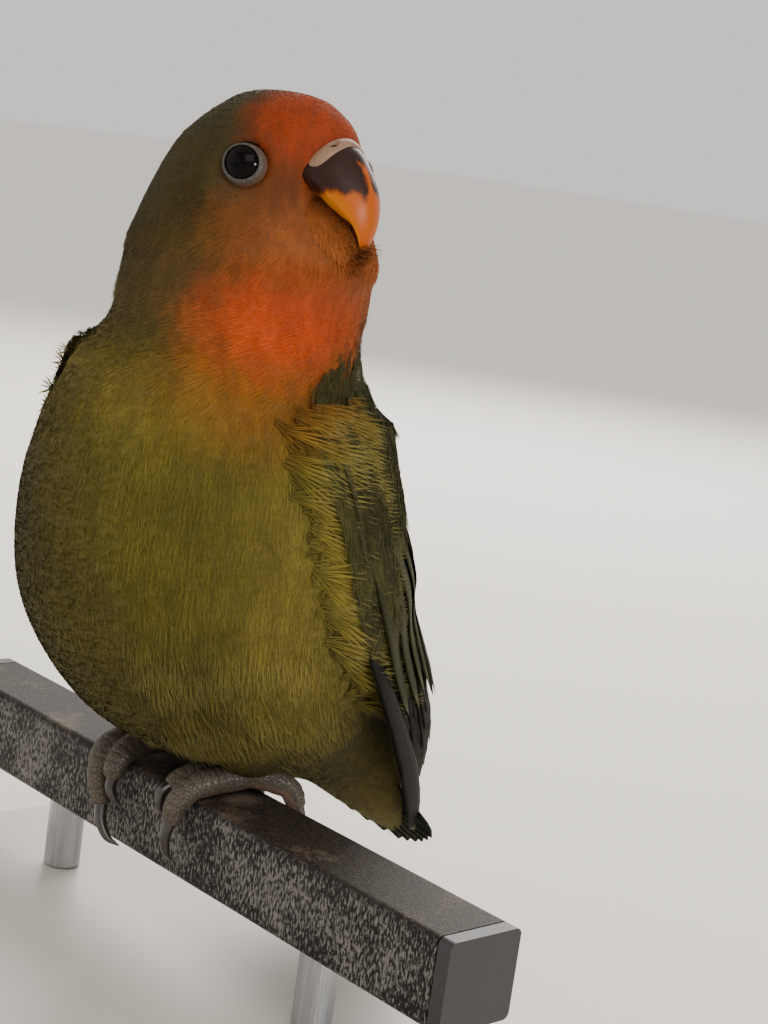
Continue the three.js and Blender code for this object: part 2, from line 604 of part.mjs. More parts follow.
const tailRoot = trim(trunk, tailward, shift(TAIL_CUT, tailward));
const tail = trim(tailSolid(tailRoot), tailward, shift(TAIL_CUT, tailward));
const torsoWhole = trim(
  trim(trunk, tailward.clone().negate(), shift(TAIL_CUT, tailward.clone().negate())),
  downward,
  shift(NECK_LOW, downward),
);
const torso = cut(torsoWhole, thighSolid(1, GAP), thighSolid(-1, GAP), footClearance);
const neck = trim(trim(trunk, upward, shift(NECK_LOW, upward)), downward, shift(NECK_HIGH, downward));
add("torso", torso, FINISH.olive);
add("neck", neck, FINISH.nape);
add("tail", tail, FINISH.tail);

const leftEye = eyeSolids(1);
const rightEye = eyeSolids(-1);
const headWhole = trim(trunk, upward, shift(NECK_HIGH, upward));
const head = cut(headWhole.add(leftEye.lid).add(rightEye.lid), leftEye.socket, rightEye.socket);
add("head", head, FINISH.face);
add("eye_left", leftEye.ball, FINISH.eye);
add("eye_right", rightEye.ball, FINISH.eye);

const upperBill = cut(billSolid(BILL, BILL_TIP), swollenTrunk);
const lowerBill = cut(billSolid(LOWER_BILL, LOWER_BILL_TIP, { steps: 8, sides: 14 }), swollenTrunk);
const billClearance = billSolid(BILL, BILL_TIP, { swell: GAP });
const nostrils = [1, -1].map((hand) =>
  new THREE.Matrix4().makeTranslation(headPoint(NOSTRIL.forward, NOSTRIL.left * hand, NOSTRIL.up)),
);
const nostrilSolids = nostrils.map((matrix) => solidOf(new THREE.SphereGeometry(NOSTRIL.radius, 6, 4), matrix));
const cereBand = billSolid(BILL, BILL_TIP, { swell: CERE.proud, from: CERE.from, to: CERE.to, steps: 2, sides: 14 });
add("bill_upper", upperBill, FINISH.bill);
add("bill_lower", cut(lowerBill, billClearance), FINISH.bill);
add("cere", cut(cereBand, swollenTrunk, billClearance, ...nostrilSolids), FINISH.cere);

const swollenTail = tailSolid(swollenTrunk, GAP);
const wings = [wingSolid(1), wingSolid(-1)].map((wing) => largest(cut(wing, swollenTail)));
add("wing_left", wings[0], FINISH.wing);
add("wing_right", wings[1], FINISH.wing);

for (const foot of feet) {
  add(`thigh_${foot.side}`, cut(thighSolid(foot.side === "left" ? 1 : -1), footClearance), FINISH.olive);
  add(`foot_${foot.side}`, cut(foot.body, swollenBar), FINISH.foot);
  for (const claw of foot.claws) {
    add(`claw_${foot.side}_${claw.name}`, cut(claw.solid, foot.swollen, swollenBar), FINISH.claw);
  }
}

add("perch", bar, FINISH.bar);
add("perch_cap_left", barSolid(BAR.length / 2 - BAR.cap, BAR.length / 2), FINISH.cap);
add("perch_cap_right", barSolid(-BAR.length / 2, -BAR.length / 2 + BAR.cap), FINISH.cap);

const base = new THREE.Mesh(baseGeometry(), FINISH.stand);
base.name = "stand_base";
model.add(base);
for (const [side, hand] of [["left", 1], ["right", -1]]) {
  const length = ROD.length - 2 * GAP;
  const rod = new THREE.Mesh(
    new THREE.CylinderGeometry(ROD.radius, ROD.radius, length, ROD.sides).rotateX(Math.PI / 2),
    FINISH.stand,
  );
  rod.name = `stand_rod_${side}`;
  rod.position.set((hand * ROD.apart) / 2, 0, BASE.thick + GAP + length / 2);
  model.add(rod);
}

export default model;
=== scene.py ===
import math

import bpy
import numpy as np
from mathutils import Matrix, Vector


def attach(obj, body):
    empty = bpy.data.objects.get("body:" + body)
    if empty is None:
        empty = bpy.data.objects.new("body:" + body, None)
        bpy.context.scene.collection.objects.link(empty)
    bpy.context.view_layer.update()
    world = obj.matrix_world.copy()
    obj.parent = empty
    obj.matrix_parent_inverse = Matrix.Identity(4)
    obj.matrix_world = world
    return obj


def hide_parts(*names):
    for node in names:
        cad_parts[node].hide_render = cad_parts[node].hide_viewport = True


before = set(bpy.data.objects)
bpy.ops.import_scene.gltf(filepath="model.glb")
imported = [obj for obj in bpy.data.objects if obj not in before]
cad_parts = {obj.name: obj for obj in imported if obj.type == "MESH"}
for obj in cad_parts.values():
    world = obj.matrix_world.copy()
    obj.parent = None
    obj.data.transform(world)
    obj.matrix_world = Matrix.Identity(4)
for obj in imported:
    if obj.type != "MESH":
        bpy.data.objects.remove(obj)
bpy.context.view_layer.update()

# Camera: level with the bird's breast and a little above the bar, on its left front quarter, tilted by
# a few degrees, so that the bar runs down to the right. It is a long lens without depth of field.
CAMERA_AT = Vector((0.24355, -0.19768, 0.14324))
CAMERA_TURN, CAMERA_HEIGHT, CAMERA_ROLL = math.radians(46.5), math.radians(10.7), math.radians(8.0)

away = Vector((math.sin(CAMERA_TURN), -math.cos(CAMERA_TURN), math.tan(CAMERA_HEIGHT))).normalized()
level = Vector((math.cos(CAMERA_TURN), math.sin(CAMERA_TURN), 0))
upright = level.cross(-away)
across = math.cos(CAMERA_ROLL) * level + math.sin(CAMERA_ROLL) * upright
overhead = -math.sin(CAMERA_ROLL) * level + math.cos(CAMERA_ROLL) * upright
camera = bpy.data.objects.new("camera", bpy.data.cameras.new("camera"))
bpy.context.scene.collection.objects.link(camera)
camera.matrix_world = Matrix.Translation(CAMERA_AT) @ Matrix((across, overhead, away)).transposed().to_4x4()
camera.data.sensor_width = 36
camera.data.lens = 70.3
camera.data.clip_start = 0.01
bpy.context.scene.camera = camera


# Studio: a plain pale floor that meets a pale surround, a broad soft lamp above the bird's left shoulder, a
# weaker one before its right side, a small one that only sparks in the eye and on the bill, and one behind
# that lights the loose feather tips.
def linear(code):
    """The linear colour of a #rrggbb code, with alpha 1."""
    parts = [int(code[i:i + 2], 16) / 255 for i in (1, 3, 5)]
    return tuple(c / 12.92 if c <= 0.04045 else ((c + 0.055) / 1.055) ** 2.4 for c in parts) + (1.0,)


def feed(tree, socket, value):
    """Links an output to a socket, or sets a plain value on it."""
    if isinstance(value, bpy.types.NodeSocket):
        tree.links.new(value, socket)
    else:
        socket.default_value = value


def add_node(tree, kind, inputs=None, **settings):
    """Adds one node, sets its settings, and gives or links its inputs."""
    made = tree.nodes.new(kind)
    for key, value in settings.items():
        setattr(made, key, value)
    for key, value in (inputs or {}).items():
        feed(tree, made.inputs[key], value)
    return made


def new_finish(name):
    """An empty material's tree, its shader and its object coordinates."""
    finish = bpy.data.materials.new(name)
    finish.use_nodes = True
    tree = finish.node_tree
    shader = tree.nodes["Principled BSDF"]
    place = add_node(tree, "ShaderNodeTexCoord").outputs["Object"]
    return finish, tree, shader, place


def set_surface(tree, shader, colour, bump=None, depth=0.0, strength=0.0, roughness=0.5, **constants):
    """Wires colour, bump and roughness into a shader and sets its constant inputs."""
    given = {"Base Color": colour, "Roughness": roughness}
    given.update({key.replace("_", " "): value for key, value in constants.items()})
    if bump is not None:
        raised = add_node(tree, "ShaderNodeBump", {"Height": bump, "Strength": strength, "Distance": depth})
        given["Normal"] = raised.outputs[0]
    for key, value in given.items():
        feed(tree, shader.inputs[key], value)


def soft_step(tree, value, low, high, from_zero=0.0, to_one=1.0):
    """A smooth ramp of a value between low and high."""
    ends = {0: value, 1: low, 2: high, 3: from_zero, 4: to_one}
    return add_node(tree, "ShaderNodeMapRange", ends, interpolation_type="SMOOTHSTEP").outputs[0]


def blend(tree, share, first, second):
    """Two colours mixed by a share. A colour is a #rrggbb code or an output."""
    first, second = (linear(tone) if isinstance(tone, str) else tone for tone in (first, second))
    return add_node(tree, "ShaderNodeMix", {0: share, 6: first, 7: second}, data_type="RGBA").outputs[2]


def reckon(tree, operation, first, second=0.0, third=0.0):
    """One sum of the shader's arithmetic."""
    return add_node(tree, "ShaderNodeMath", {0: first, 1: second, 2: third}, operation=operation).outputs[0]


def noise(tree, place, scale, detail=3.0, roughness=0.55, stretch=None):
    """Grain at a scale per metre, stretched where wanted."""
    if stretch:
        place = add_node(tree, "ShaderNodeMapping", {"Vector": place, "Scale": stretch}).outputs[0]
    grain = {"Vector": place, "Scale": scale, "Detail": detail, "Roughness": roughness}
    return add_node(tree, "ShaderNodeTexNoise", grain).outputs[0]


def stored(tree, key):
    """A value that the mesh keeps at each point."""
    return add_node(tree, "ShaderNodeAttribute", attribute_name=key).outputs["Fac"]


FLOOR_HALF = 6
floor_mesh = bpy.data.meshes.new("floor")
corners = [(x * FLOOR_HALF, y * FLOOR_HALF, 0) for x, y in ((-1, -1), (1, -1), (1, 1), (-1, 1))]
floor_mesh.from_pydata(corners, [], [(0, 1, 2, 3)])
floor = bpy.data.objects.new("floor", floor_mesh)
bpy.context.scene.collection.objects.link(floor)
floor_paint, tree, shader, place = new_finish("studio_floor_paint")
set_surface(tree, shader, blend(tree, noise(tree, place, 3.0), "#f3efe8", "#f7f4ee"), roughness=0.9)
floor_mesh.materials.append(floor_paint)

surround = bpy.data.worlds.new("surround")
surround.use_nodes = True
surround.node_tree.nodes["Background"].inputs["Color"].default_value = linear("#f6f3ee")
surround.node_tree.nodes["Background"].inputs["Strength"].default_value = 0.95
bpy.context.scene.world = surround


def soft_lamp(name, at, towards, size, power, tint="#ffffff"):
    """A square area lamp that faces a point."""
    lamp = bpy.data.lights.new(name, "AREA")
    lamp.size = size
    lamp.energy = power
    lamp.color = linear(tint)[:3]
    holder = bpy.data.objects.new(name, lamp)
    bpy.context.scene.collection.objects.link(holder)
    facing = (Vector(at) - Vector(towards)).to_track_quat("Z", "Y").to_matrix().to_4x4()
    holder.matrix_world = Matrix.Translation(at) @ facing
    return holder


soft_lamp("lamp_key", (0.62, -0.25, 0.62), (0, 0, 0.09), 0.5, 2.9, "#fff6ea")
soft_lamp("lamp_fill", (-0.35, -0.75, 0.35), (0, 0, 0.09), 0.6, 0.7, "#fff8f0")
spark = soft_lamp("lamp_spark", (0.6, 0.05, 0.21), (0, 0, 0.13), 0.09, 2.4)
spark.visible_diffuse = False
soft_lamp("lamp_back", (-0.45, 0.55, 0.5), (0, 0, 0.1), 0.5, 7.0, "#fffaf2")


# Skin: the whole of tail root, body, neck and head under the feathers, one surface with no seam. It runs in
# rings from the tail root to the crown, inside the feathered outline by the depth of the coat. Sizes are in
# millimetres from the middle of the bar's top face. Each station gives its centre, the pitch and heading of
# its front, its half width, and its reach to the front and to the back.
BAR_TOP = 36.0
BODY_STATIONS = [
    (2.9, 40, -10.4, -44, 2, 6.0, 2.6, 1.2), (2.6, 35, -3.8, -47, 2, 10.2, 5.9, 3.2),
    (0.4, 28, 5, -45, 4, 15.6, 10.6, 8.5), (-2.2, 15.5, 13, -42, 7, 22.5, 17, 14),
    (-2.4, 10.3, 18, -37, 9, 26, 22, 17), (-2.6, 5, 24, -30, 11, 28.5, 26, 20),
    (-2.6, -0.5, 34, -18, 13, 30.3, 29, 23), (-2.5, -3.2, 45, -9, 14, 30, 29, 24),
    (-2.8, -4.6, 56, -2, 15, 28, 26.5, 22.5), (-3, -4, 66, 2, 18, 23.6, 22.5, 19.5),
    (-2, -2, 74, 0, 42, 20.6, 20, 19.5), (-2, -1, 80.5, 0, 75, 20.4, 20, 21),
    (-2, -0.5, 86, 0, 90, 19, 21.8, 22.2), (-1.5, 0, 90.5, 0, 95, 17.8, 18.6, 21.5),
    (-1, 0, 94.5, 0, 96, 16.8, 14.6, 20), (-0.5, 0, 99, 0, 96, 15.6, 14.4, 18),
    (0, 0, 103, 0, 96, 13.5, 14, 15.8), (0.8, 0, 106.8, 0, 96, 10.4, 12.2, 12.4),
    (1, 0, 109.6, 0, 96, 6.8, 8.8, 8.5), (1.1, 0, 110.7, 0, 96, 4.2, 5.6, 5.2),
    (1.1, 0, 111.1, 0, 96, 1.6, 2.2, 2.0),
]
TAIL_POLE, CROWN_POLE = (2.9, 41.4, -12.3), (1.1, 0, 110.8)
SKIN_RINGS, SKIN_SIDES = 150, 132
COAT_DEPTH = [0.5, 0.6, 0.8, 1.0] + [1.1] * 5 + [1.0, 0.9, 0.8, 0.7, 0.6, 0.5, 0.5] + [0.4] * 5
FLUFF_ANGLE, FLUFF_WIDE, FLUFF_FROM, FLUFF_TO, FLUFF_LENGTH, FLUFF_OUT = 140, 36, 2.6, 7.8, 5.2, 1.9
EYE_PIT, EYE_PIT_REACH = 1.7, 4.1
HEAD_AT, HEAD_HEADING, HEAD_TIP = np.array([0, 0, 95.0]), math.radians(96), math.radians(3)
EYE_AT, EYE_AIM, EYE_BALL, EYE_SUNK = (6.9, 13.4, 4.5), (0.42, 0.9, 0.12), 3.4, 2.1
THIGH_AT, THIGH_APART, THIGH_REACH, THIGH_TURN = (-1.5, 2, 11), 21, (7.0, 9.0, 7.9), math.radians(9)


def spline(points, share, even=False):
    """A smooth curve through rows of values, spaced evenly or by the distance between them."""
    rows = np.asarray(points, float)
    count = len(rows)
    rows = np.vstack([2 * rows[0] - rows[1], rows, 2 * rows[-1] - rows[-2]])
    at = np.clip(np.asarray(share, float), 0, 1) * (count - 1)
    k = np.minimum(at.astype(int), count - 2)
    w = (at - k)[..., None]
    a, b, c, d = rows[k], rows[k + 1], rows[k + 2], rows[k + 3]
    if even:
        start, end = (c - a) / 2, (d - b) / 2
    else:
        gaps = [np.sum((v - u) ** 2, -1, keepdims=True) ** 0.25 for u, v in ((a, b), (b, c), (c, d))]
        g0, g1, g2 = gaps
        start = ((b - a) / g0 - (c - a) / (g0 + g1) + (c - b) / g1) * g1
        end = ((c - b) / g1 - (d - b) / (g1 + g2) + (d - c) / g2) * g1
    return b + start * w + (-3 * b + 3 * c - 2 * start - end) * w**2 + (2 * b - 2 * c + start + end) * w**3


def unit(rows):
    """Rows of vectors, each one long."""
    rows = np.asarray(rows, float)
    return rows / np.maximum(np.linalg.norm(rows, axis=-1, keepdims=True), 1e-9)


def body_point(station, angle, swell=0.0):
    """A point on the feathered outline: angle 0 is the left side of the body, 90 its front."""
    row = spline(BODY_STATIONS, np.asarray(station, float) / (len(BODY_STATIONS) - 1), even=True)
    turn, pitch, heading = np.radians(angle), np.radians(row[..., 3]), np.radians(row[..., 4])
    side = np.stack([np.cos(heading), np.sin(heading), 0 * heading], -1)
    fore = np.stack([np.sin(heading) * np.cos(pitch), -np.cos(heading) * np.cos(pitch), np.sin(pitch)], -1)
    depth = np.where(np.sin(turn) > 0, row[..., 6], row[..., 7]) + swell
    return (
        row[..., :3]
        + side * ((row[..., 5] + swell) * np.cos(turn))[..., None]
        + fore * (depth * np.sin(turn))[..., None]
    )


flat_forward = np.array([math.sin(HEAD_HEADING), -math.cos(HEAD_HEADING), 0])
head_left = np.cross([0, 0, 1.0], flat_forward)
head_forward = flat_forward * math.cos(HEAD_TIP) + np.array([0, 0, math.sin(HEAD_TIP)])
head_up = np.array([0, 0, math.cos(HEAD_TIP)]) - flat_forward * math.sin(HEAD_TIP)


def head_point(forward, left, up):
    """A point of the head from its own forward, left and up distances."""
    steps = [np.asarray(v, float)[..., None] for v in (forward, left, up)]
    return HEAD_AT + steps[0] * head_forward + steps[1] * head_left + steps[2] * head_up


def in_head(points):
    """Points of the body frame as forward, left and up distances in the head."""
    return np.stack([(points - HEAD_AT) @ axis for axis in (head_forward, head_left, head_up)], -1)


def eye_axis(hand):
    """The middle of one eyeball and the way it looks: hand is 1 for the left eye, -1 for the right."""
    looks = unit(head_point(EYE_AIM[0], EYE_AIM[1] * hand, EYE_AIM[2]) - HEAD_AT)
    return head_point(EYE_AT[0], EYE_AT[1] * hand, EYE_AT[2]) - looks * EYE_SUNK, looks


def keep_values(mesh, key, rows, kind="FLOAT", on="POINT"):
    """Stores one value or vector for each point or face of a mesh."""
    rows = np.asarray(rows, np.int32 if kind == "INT" else np.float32).ravel()
    mesh.attributes.new(key, kind, on).data.foreach_set("vector" if kind == "FLOAT_VECTOR" else "value", rows)


def dress(piece, slot, *solids):
    """Gives a finished piece its body and hides the solids that it takes the place of. The slot is not used."""
    if solids:
        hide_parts(*solids)
    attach(piece, "root")


def show_mesh(name, mesh):
    """A mesh as an object of the scene."""
    piece = bpy.data.objects.new(name, mesh)
    bpy.context.scene.collection.objects.link(piece)
    return piece


def finished_mesh(worked):
    """A plain mesh of what an object's modifiers make of it. The object goes."""
    bpy.context.view_layer.update()
    evaluated = worked.evaluated_get(bpy.context.evaluated_depsgraph_get())
    mesh = bpy.data.meshes.new_from_object(evaluated)
    worked.modifiers.clear()
    bpy.data.objects.remove(worked)
    return mesh


def make_piece(name, points, faces, finish, uvs=None, attributes=None):
    """A mesh piece from points in millimetres over the bar, with its finish, UV maps and point values."""
    mesh = bpy.data.meshes.new(name)
    placed = (np.asarray(points, float) + np.array([0, 0, BAR_TOP])) / 1000
    mesh.from_pydata(placed.tolist(), [], faces)
    for uv_name, rows in (uvs or {}).items():
        layer = mesh.uv_layers.new(name=uv_name)
        corners = np.empty(len(mesh.loops), np.int32)
        mesh.loops.foreach_get("vertex_index", corners)
        values = np.asarray(rows)[corners] if len(rows) == len(points) else rows
        layer.uv.foreach_set("vector", np.asarray(values, np.float32).ravel())
    for key, rows in (attributes or {}).items():
        keep_values(mesh, key, rows, "FLOAT" if np.ndim(rows) == 1 else "FLOAT_VECTOR")
    mesh.shade_smooth()
    mesh.materials.append(finish)
    mesh.update()
    return show_mesh(name, mesh)


def ring_faces(rings, sides, closed=True, offset=0):
    """Quads between rings of equal count."""
    faces = []
    for low in range(offset, offset + (rings - 1) * sides, sides):
        for s in range(sides if closed else sides - 1):
            t = (s + 1) % sides
            faces.append((low + s, low + t, low + sides + t, low + sides + s))
    return faces


ring_station = np.linspace(0, len(BODY_STATIONS) - 1, SKIN_RINGS)[:, None]
ring_heading = spline(BODY_STATIONS, ring_station / (len(BODY_STATIONS) - 1), even=True)[..., 4]
ring_angle = np.arange(SKIN_SIDES)[None, :] / SKIN_SIDES * 360 + ring_heading
station, angle = np.broadcast_arrays(ring_station, ring_angle)
depth = np.interp(station, np.arange(len(COAT_DEPTH)), COAT_DEPTH)
fluff = np.clip(np.sin((station - FLUFF_FROM) / FLUFF_LENGTH * math.pi), 0, 1) ** 0.7
fluff = np.exp(-(((angle - FLUFF_ANGLE) / FLUFF_WIDE) ** 2)) * fluff
fluff = np.where((station > FLUFF_FROM) & (station < FLUFF_TO), fluff, 0.0)
skin_grid = body_point(station, angle, FLUFF_OUT * fluff - depth)
lie_grid = body_point(np.maximum(station - 0.15, 0), angle)
lie_grid = lie_grid - body_point(np.minimum(station + 0.15, 20), angle)
out_grid = np.cross(np.roll(skin_grid, -1, 1) - np.roll(skin_grid, 1, 1), -lie_grid)
from_middle = skin_grid - skin_grid.mean(1, keepdims=True)
out_grid = unit(out_grid * np.sign(np.sum(out_grid * from_middle, -1))[..., None])

# The thighs swell the belly on both sides, where the feet come out of it.
cosine, sine = math.cos(THIGH_TURN), math.sin(THIGH_TURN)
thigh_turn = np.array([[cosine, -sine, 0], [sine, cosine, 0], [0, 0, 1]])
for hand in (1, -1):
    middle = thigh_turn @ np.array([THIGH_APART / 2 * hand, 0, 0]) + np.array(THIGH_AT)
    inside = ((skin_grid - middle) @ thigh_turn) / THIGH_REACH
    push = (out_grid @ thigh_turn) / THIGH_REACH
    a, b, c = (np.sum(u * v, -1) for u, v in ((push, push), (push, inside), (inside, inside)))
    reach = (-b + np.sqrt(np.maximum(b * b - a * (c - 1), 0))) / a
    skin_grid = skin_grid + out_grid * np.where(c < 1, np.clip(reach, 0, 6), 0)[..., None]

# Each eye sits in a shallow pit of the skin.
eye_distance = np.full(station.shape, 99.0)
for hand in (1, -1):
    middle, looks = eye_axis(hand)
    offset = skin_grid - middle
    along = offset @ looks
    beside = np.linalg.norm(offset - along[..., None] * looks, axis=-1)
    beside = np.where(along > -1, beside, 99)
    eye_distance = np.minimum(eye_distance, beside)
    pit = EYE_PIT * np.clip(1 - (beside / EYE_PIT_REACH) ** 2, 0, 1)
    skin_grid = skin_grid - looks * pit[..., None]

skin_points = np.vstack([skin_grid.reshape(-1, 3), [TAIL_POLE], [CROWN_POLE]])
skin_faces = ring_faces(SKIN_RINGS, SKIN_SIDES)
first_pole, last_pole = SKIN_RINGS * SKIN_SIDES, SKIN_RINGS * SKIN_SIDES + 1
last_ring = (SKIN_RINGS - 1) * SKIN_SIDES
for s in range(SKIN_SIDES):
    skin_faces.append((first_pole, (s + 1) % SKIN_SIDES, s))
    skin_faces.append((last_pole, last_ring + s, last_ring + (s + 1) % SKIN_SIDES))

# The lie of the coat: away from the bill over the head, then down the neck and body to the tail.
head_grid = in_head(skin_grid)
from_bill = skin_grid - head_point(11.5, 0, 0.5)
from_bill = unit(from_bill - out_grid * np.sum(from_bill * out_grid, -1)[..., None])
head_share = np.clip((skin_grid[..., 2] - 77) / 14, 0, 1)[..., None]
head_share = head_share**2 * (3 - 2 * head_share)
lie_grid = unit(unit(lie_grid) * (1 - head_share) + from_bill * head_share)

# How long each tuft is in millimetres, how close they stand, and which stretch of the coat they belong to.
REACH = [1.8, 3.4, 6.4, 8.2, 8.5, 8.5, 8.5, 8.2, 7.6, 6.8, 6.0, 5.0, 4.2, 3.7, 3.3, 3.0, 2.9] + [2.8] * 4
BILL_MIDDLE, BILL_SHAPE, BILL_BARE, EYE_BARE = (13.0, 0, 2.6), (0.9, 1.0, 0.78), 4.0, 3.05
CHIN_LEVEL, FACE_REACH, NECK_STATION, BREAST_STATION, BELLY_STATION = -9.5, 15.5, 9.2, 6.3, 3.0
reach_grid = np.interp(station, np.arange(len(REACH)), REACH)
bill_distance = np.linalg.norm((head_grid - BILL_MIDDLE) * BILL_SHAPE, axis=-1)
face_share = np.clip((bill_distance - 5.5) / 13, 0.0, 1)
reach_grid = np.where(head_grid[..., 2] > -14, reach_grid * (0.42 + 0.58 * face_share), reach_grid)
near_eye = np.clip((eye_distance - 3.4) / 4, 0, 1)
reach_grid = reach_grid * (0.5 + 0.5 * near_eye)
cover_grid = np.where((eye_distance < EYE_BARE) | (bill_distance < BILL_BARE), 0.0, 1.0)
in_front = np.sin(np.radians(angle)) > -0.1
left_front = in_front & (angle < 75)
on_head = head_grid[..., 2] > CHIN_LEVEL
stretches = [
    on_head & (bill_distance < FACE_REACH),
    on_head,
    (station > NECK_STATION) & (np.cos(np.radians(angle - 75)) > 0),
    station > NECK_STATION,
    (station > BREAST_STATION) & left_front,
    (station > BREAST_STATION) & in_front,
    (station > BELLY_STATION) & left_front,
    (station > BELLY_STATION) & in_front,
    station > BELLY_STATION,
]
zone_grid = np.select(stretches, list(range(9)), 9)

# The unwrap: rings across, from tail root to crown, with the two poles in strips of their own.
u_share = np.arange(SKIN_SIDES + 1) / SKIN_SIDES * 0.94 + 0.03
v_share = np.arange(SKIN_RINGS) / (SKIN_RINGS - 1) * 0.9 + 0.05
corner_uv = []
for r in range(SKIN_RINGS - 1):
    for s in range(SKIN_SIDES):
        corner_uv += [(u_share[s + ds], v_share[r + dr]) for dr, ds in ((0, 0), (0, 1), (1, 1), (1, 0))]
for s in range(SKIN_SIDES):
    here, beyond = u_share[s], u_share[s + 1]
    corner_uv += [(here + 0.003, 0.035), (beyond, v_share[0]), (here, v_share[0])]
    corner_uv += [(here + 0.003, 0.965), (here, v_share[-1]), (beyond, v_share[-1])]


# Plumage colours: one set of soft markings, shared by the skin and the coat. A green young bird with a red
# forehead, salmon cheeks and a red bib that fades down the breast. The two flank marks are painted light and
# shade: the left flank is painted paler and the right flank darker. A mark's centre and reach are millimetres
# from the head's middle: forward, aside and up in the head where it is alike on both sides, and otherwise to
# the body's left, back and up. Then come its full share, raggedness, strength and tone, and whether it is
# alike on both sides.
FLANK_LIGHT_AND_SHADE = {
    "painted shade on the right flank": ((-18, -34, -55), (30, 26, 48), 0.15, 0.2, 0.85, "#3b3617", False),
    "painted light on the left flank": ((27, 0, -60), (17, 24, 40), 0.3, 0.2, 0.7, "#847630", False),
}
HEAD_MARKS = {
    "glow below the bib": ((15, -9, -27), (20, 21, 17), 0.1, 0.3, 0.85, "#9a5c1a", False),
    "collar": ((1, 13, -15), (16, 13, 14), 0.2, 0.25, 0.75, "#6e4f26", True),
    "cheek": ((12, 7, -8), (18, 16.5, 19), 0.4, 0.25, 1.0, "#7b451d", True),
    "blush": ((15, 6, -9), (12, 13, 14), 0.2, 0.25, 0.85, "#a45a2b", True),
    "bib": ((14.5, -6, -18.5), (17, 22.5, 12.5), 0.08, 0.4, 1.0, "#cf4912", False),
    "brow": ((11.5, 0, 10.5), (14, 18, 12), 0.5, 0.25, 1.0, "#a2390b", True),
    "lore": ((10.5, 9.5, 2), (5.5, 6, 6), 0.2, 0.25, 0.75, "#70340e", True),
}
RUMP_MARK_AT, RUMP_MARK_REACH = (0, 32, 12 + BAR_TOP), (18, 16, 16)


def vector(tree, operation, first, second=None, scale=None, out=0):
    """One sum of vectors."""
    inputs = {0: first, 1: second, 3: scale}
    inputs = {key: value for key, value in inputs.items() if value is not None}
    return add_node(tree, "ShaderNodeVectorMath", inputs, operation=operation).outputs[out]


def marking_group():
    """The shader group that gives the plumage its colour at a place on the bird."""
    group = bpy.data.node_groups.new("plumage_markings", "ShaderNodeTree")
    group.interface.new_socket("Color", in_out="OUTPUT", socket_type="NodeSocketColor")
    out = add_node(group, "NodeGroupOutput")
    here = add_node(group, "ShaderNodeTexCoord").outputs["Object"]
    wander = noise(group, here, 260.0, 2.0)
    wander_wide = noise(group, here, 70.0, 2.0)
    mm = vector(group, "SCALE", here, scale=1000.0)
    from_head = vector(group, "SUBTRACT", mm, (HEAD_AT + np.array([0, 0, BAR_TOP])).tolist())
    axes = (head_forward, head_left, head_up)
    forward, sideways, up = (vector(group, "DOT_PRODUCT", from_head, axis.tolist(), out=1) for axis in axes)
    sideways = reckon(group, "ABSOLUTE", sideways)
    mirrored = add_node(group, "ShaderNodeCombineXYZ", {0: forward, 1: sideways, 2: up}).outputs[0]
    above = reckon(group, "SUBTRACT", add_node(group, "ShaderNodeSeparateXYZ", {0: mm}).outputs[2], BAR_TOP)

    def spot(at, reach, core, ragged, place, strength=1.0):
        """A soft round mark: its full strength inside its core, nothing at its reach."""
        apart = vector(group, "SUBTRACT", place, at)
        far = vector(group, "LENGTH", vector(group, "DIVIDE", apart, reach), out=1)
        uneven = reckon(group, "MULTIPLY_ADD", wander, ragged, reckon(group, "SUBTRACT", far, ragged / 2))
        return soft_step(group, uneven, core, 1.0, strength, 0.0)

    def add_marks(colour, marks):
        """The colour with each mark laid over the ones before it."""
        for at, reach, core, ragged, strength, tone, both_sides in marks.values():
            mark = spot(at, reach, core, ragged, mirrored if both_sides else from_head, strength)
            colour = blend(group, mark, colour, tone)
        return colour

    colour = blend(group, soft_step(group, above, 12.0, 50.0), "#4e4719", "#635a1b")
    colour = blend(group, soft_step(group, above, 52.0, 72.0), colour, "#7a6822")
    # Painted light on the left flank and painted shade on the right flank, laid over the plumage's colours.
    colour = add_marks(colour, FLANK_LIGHT_AND_SHADE)
    colour = blend(group, soft_step(group, above, 60.0, 80.0), colour, "#3a3113")
    rearward = add_node(group, "ShaderNodeSeparateXYZ", {0: mm}).outputs[1]
    below_rump = reckon(group, "MINIMUM", reckon(group, "ADD", above, -24.0), 0.0)
    behind_rump = reckon(group, "MAXIMUM", reckon(group, "ADD", rearward, -28.0), 0.0)
    back = reckon(group, "MULTIPLY_ADD", below_rump, 0.85, rearward)
    back = reckon(group, "MULTIPLY_ADD", behind_rump, 0.35, back)
    colour = blend(group, soft_step(group, rearward, 16.0, 34.0, 0.0, 0.7), colour, "#766a36")
    colour = blend(group, soft_step(group, back, 11.0, 19.0), colour, "#4b4f20")
    rump = spot(RUMP_MARK_AT, RUMP_MARK_REACH, 0.3, 0.1, mm)
    rump = reckon(group, "MULTIPLY", rump, soft_step(group, back, 13.0, 19.0, 0.0, 0.6))
    colour = blend(group, rump, colour, "#3f6238")
    colour = add_marks(colour, HEAD_MARKS)
    locks = noise(group, here, 420.0, 3.0, 0.6, (1.0, 1.0, 0.22))
    locks = soft_step(group, locks, 0.35, 0.68, 0.88, 1.12)
    uneven = reckon(group, "MULTIPLY", locks, soft_step(group, wander_wide, 0.3, 0.7, 0.9, 1.1))
    group.links.new(vector(group, "SCALE", colour, scale=uneven), out.inputs[0])
    return group


markings = marking_group()
skin_finish, tree, shader, place = new_finish("down_and_skin")
under = add_node(tree, "ShaderNodeGroup", node_tree=markings).outputs[0]
strands = noise(tree, place, 900.0, 4.0, 0.6, (1.0, 1.0, 0.25))
under = blend(tree, soft_step(tree, strands, 0.3, 0.7, 0.25, 0.5), under, "#2c2a1c")
set_surface(tree, shader, under, strands, 0.0003, 0.7, 0.85, Specular_IOR_Level=0.2)

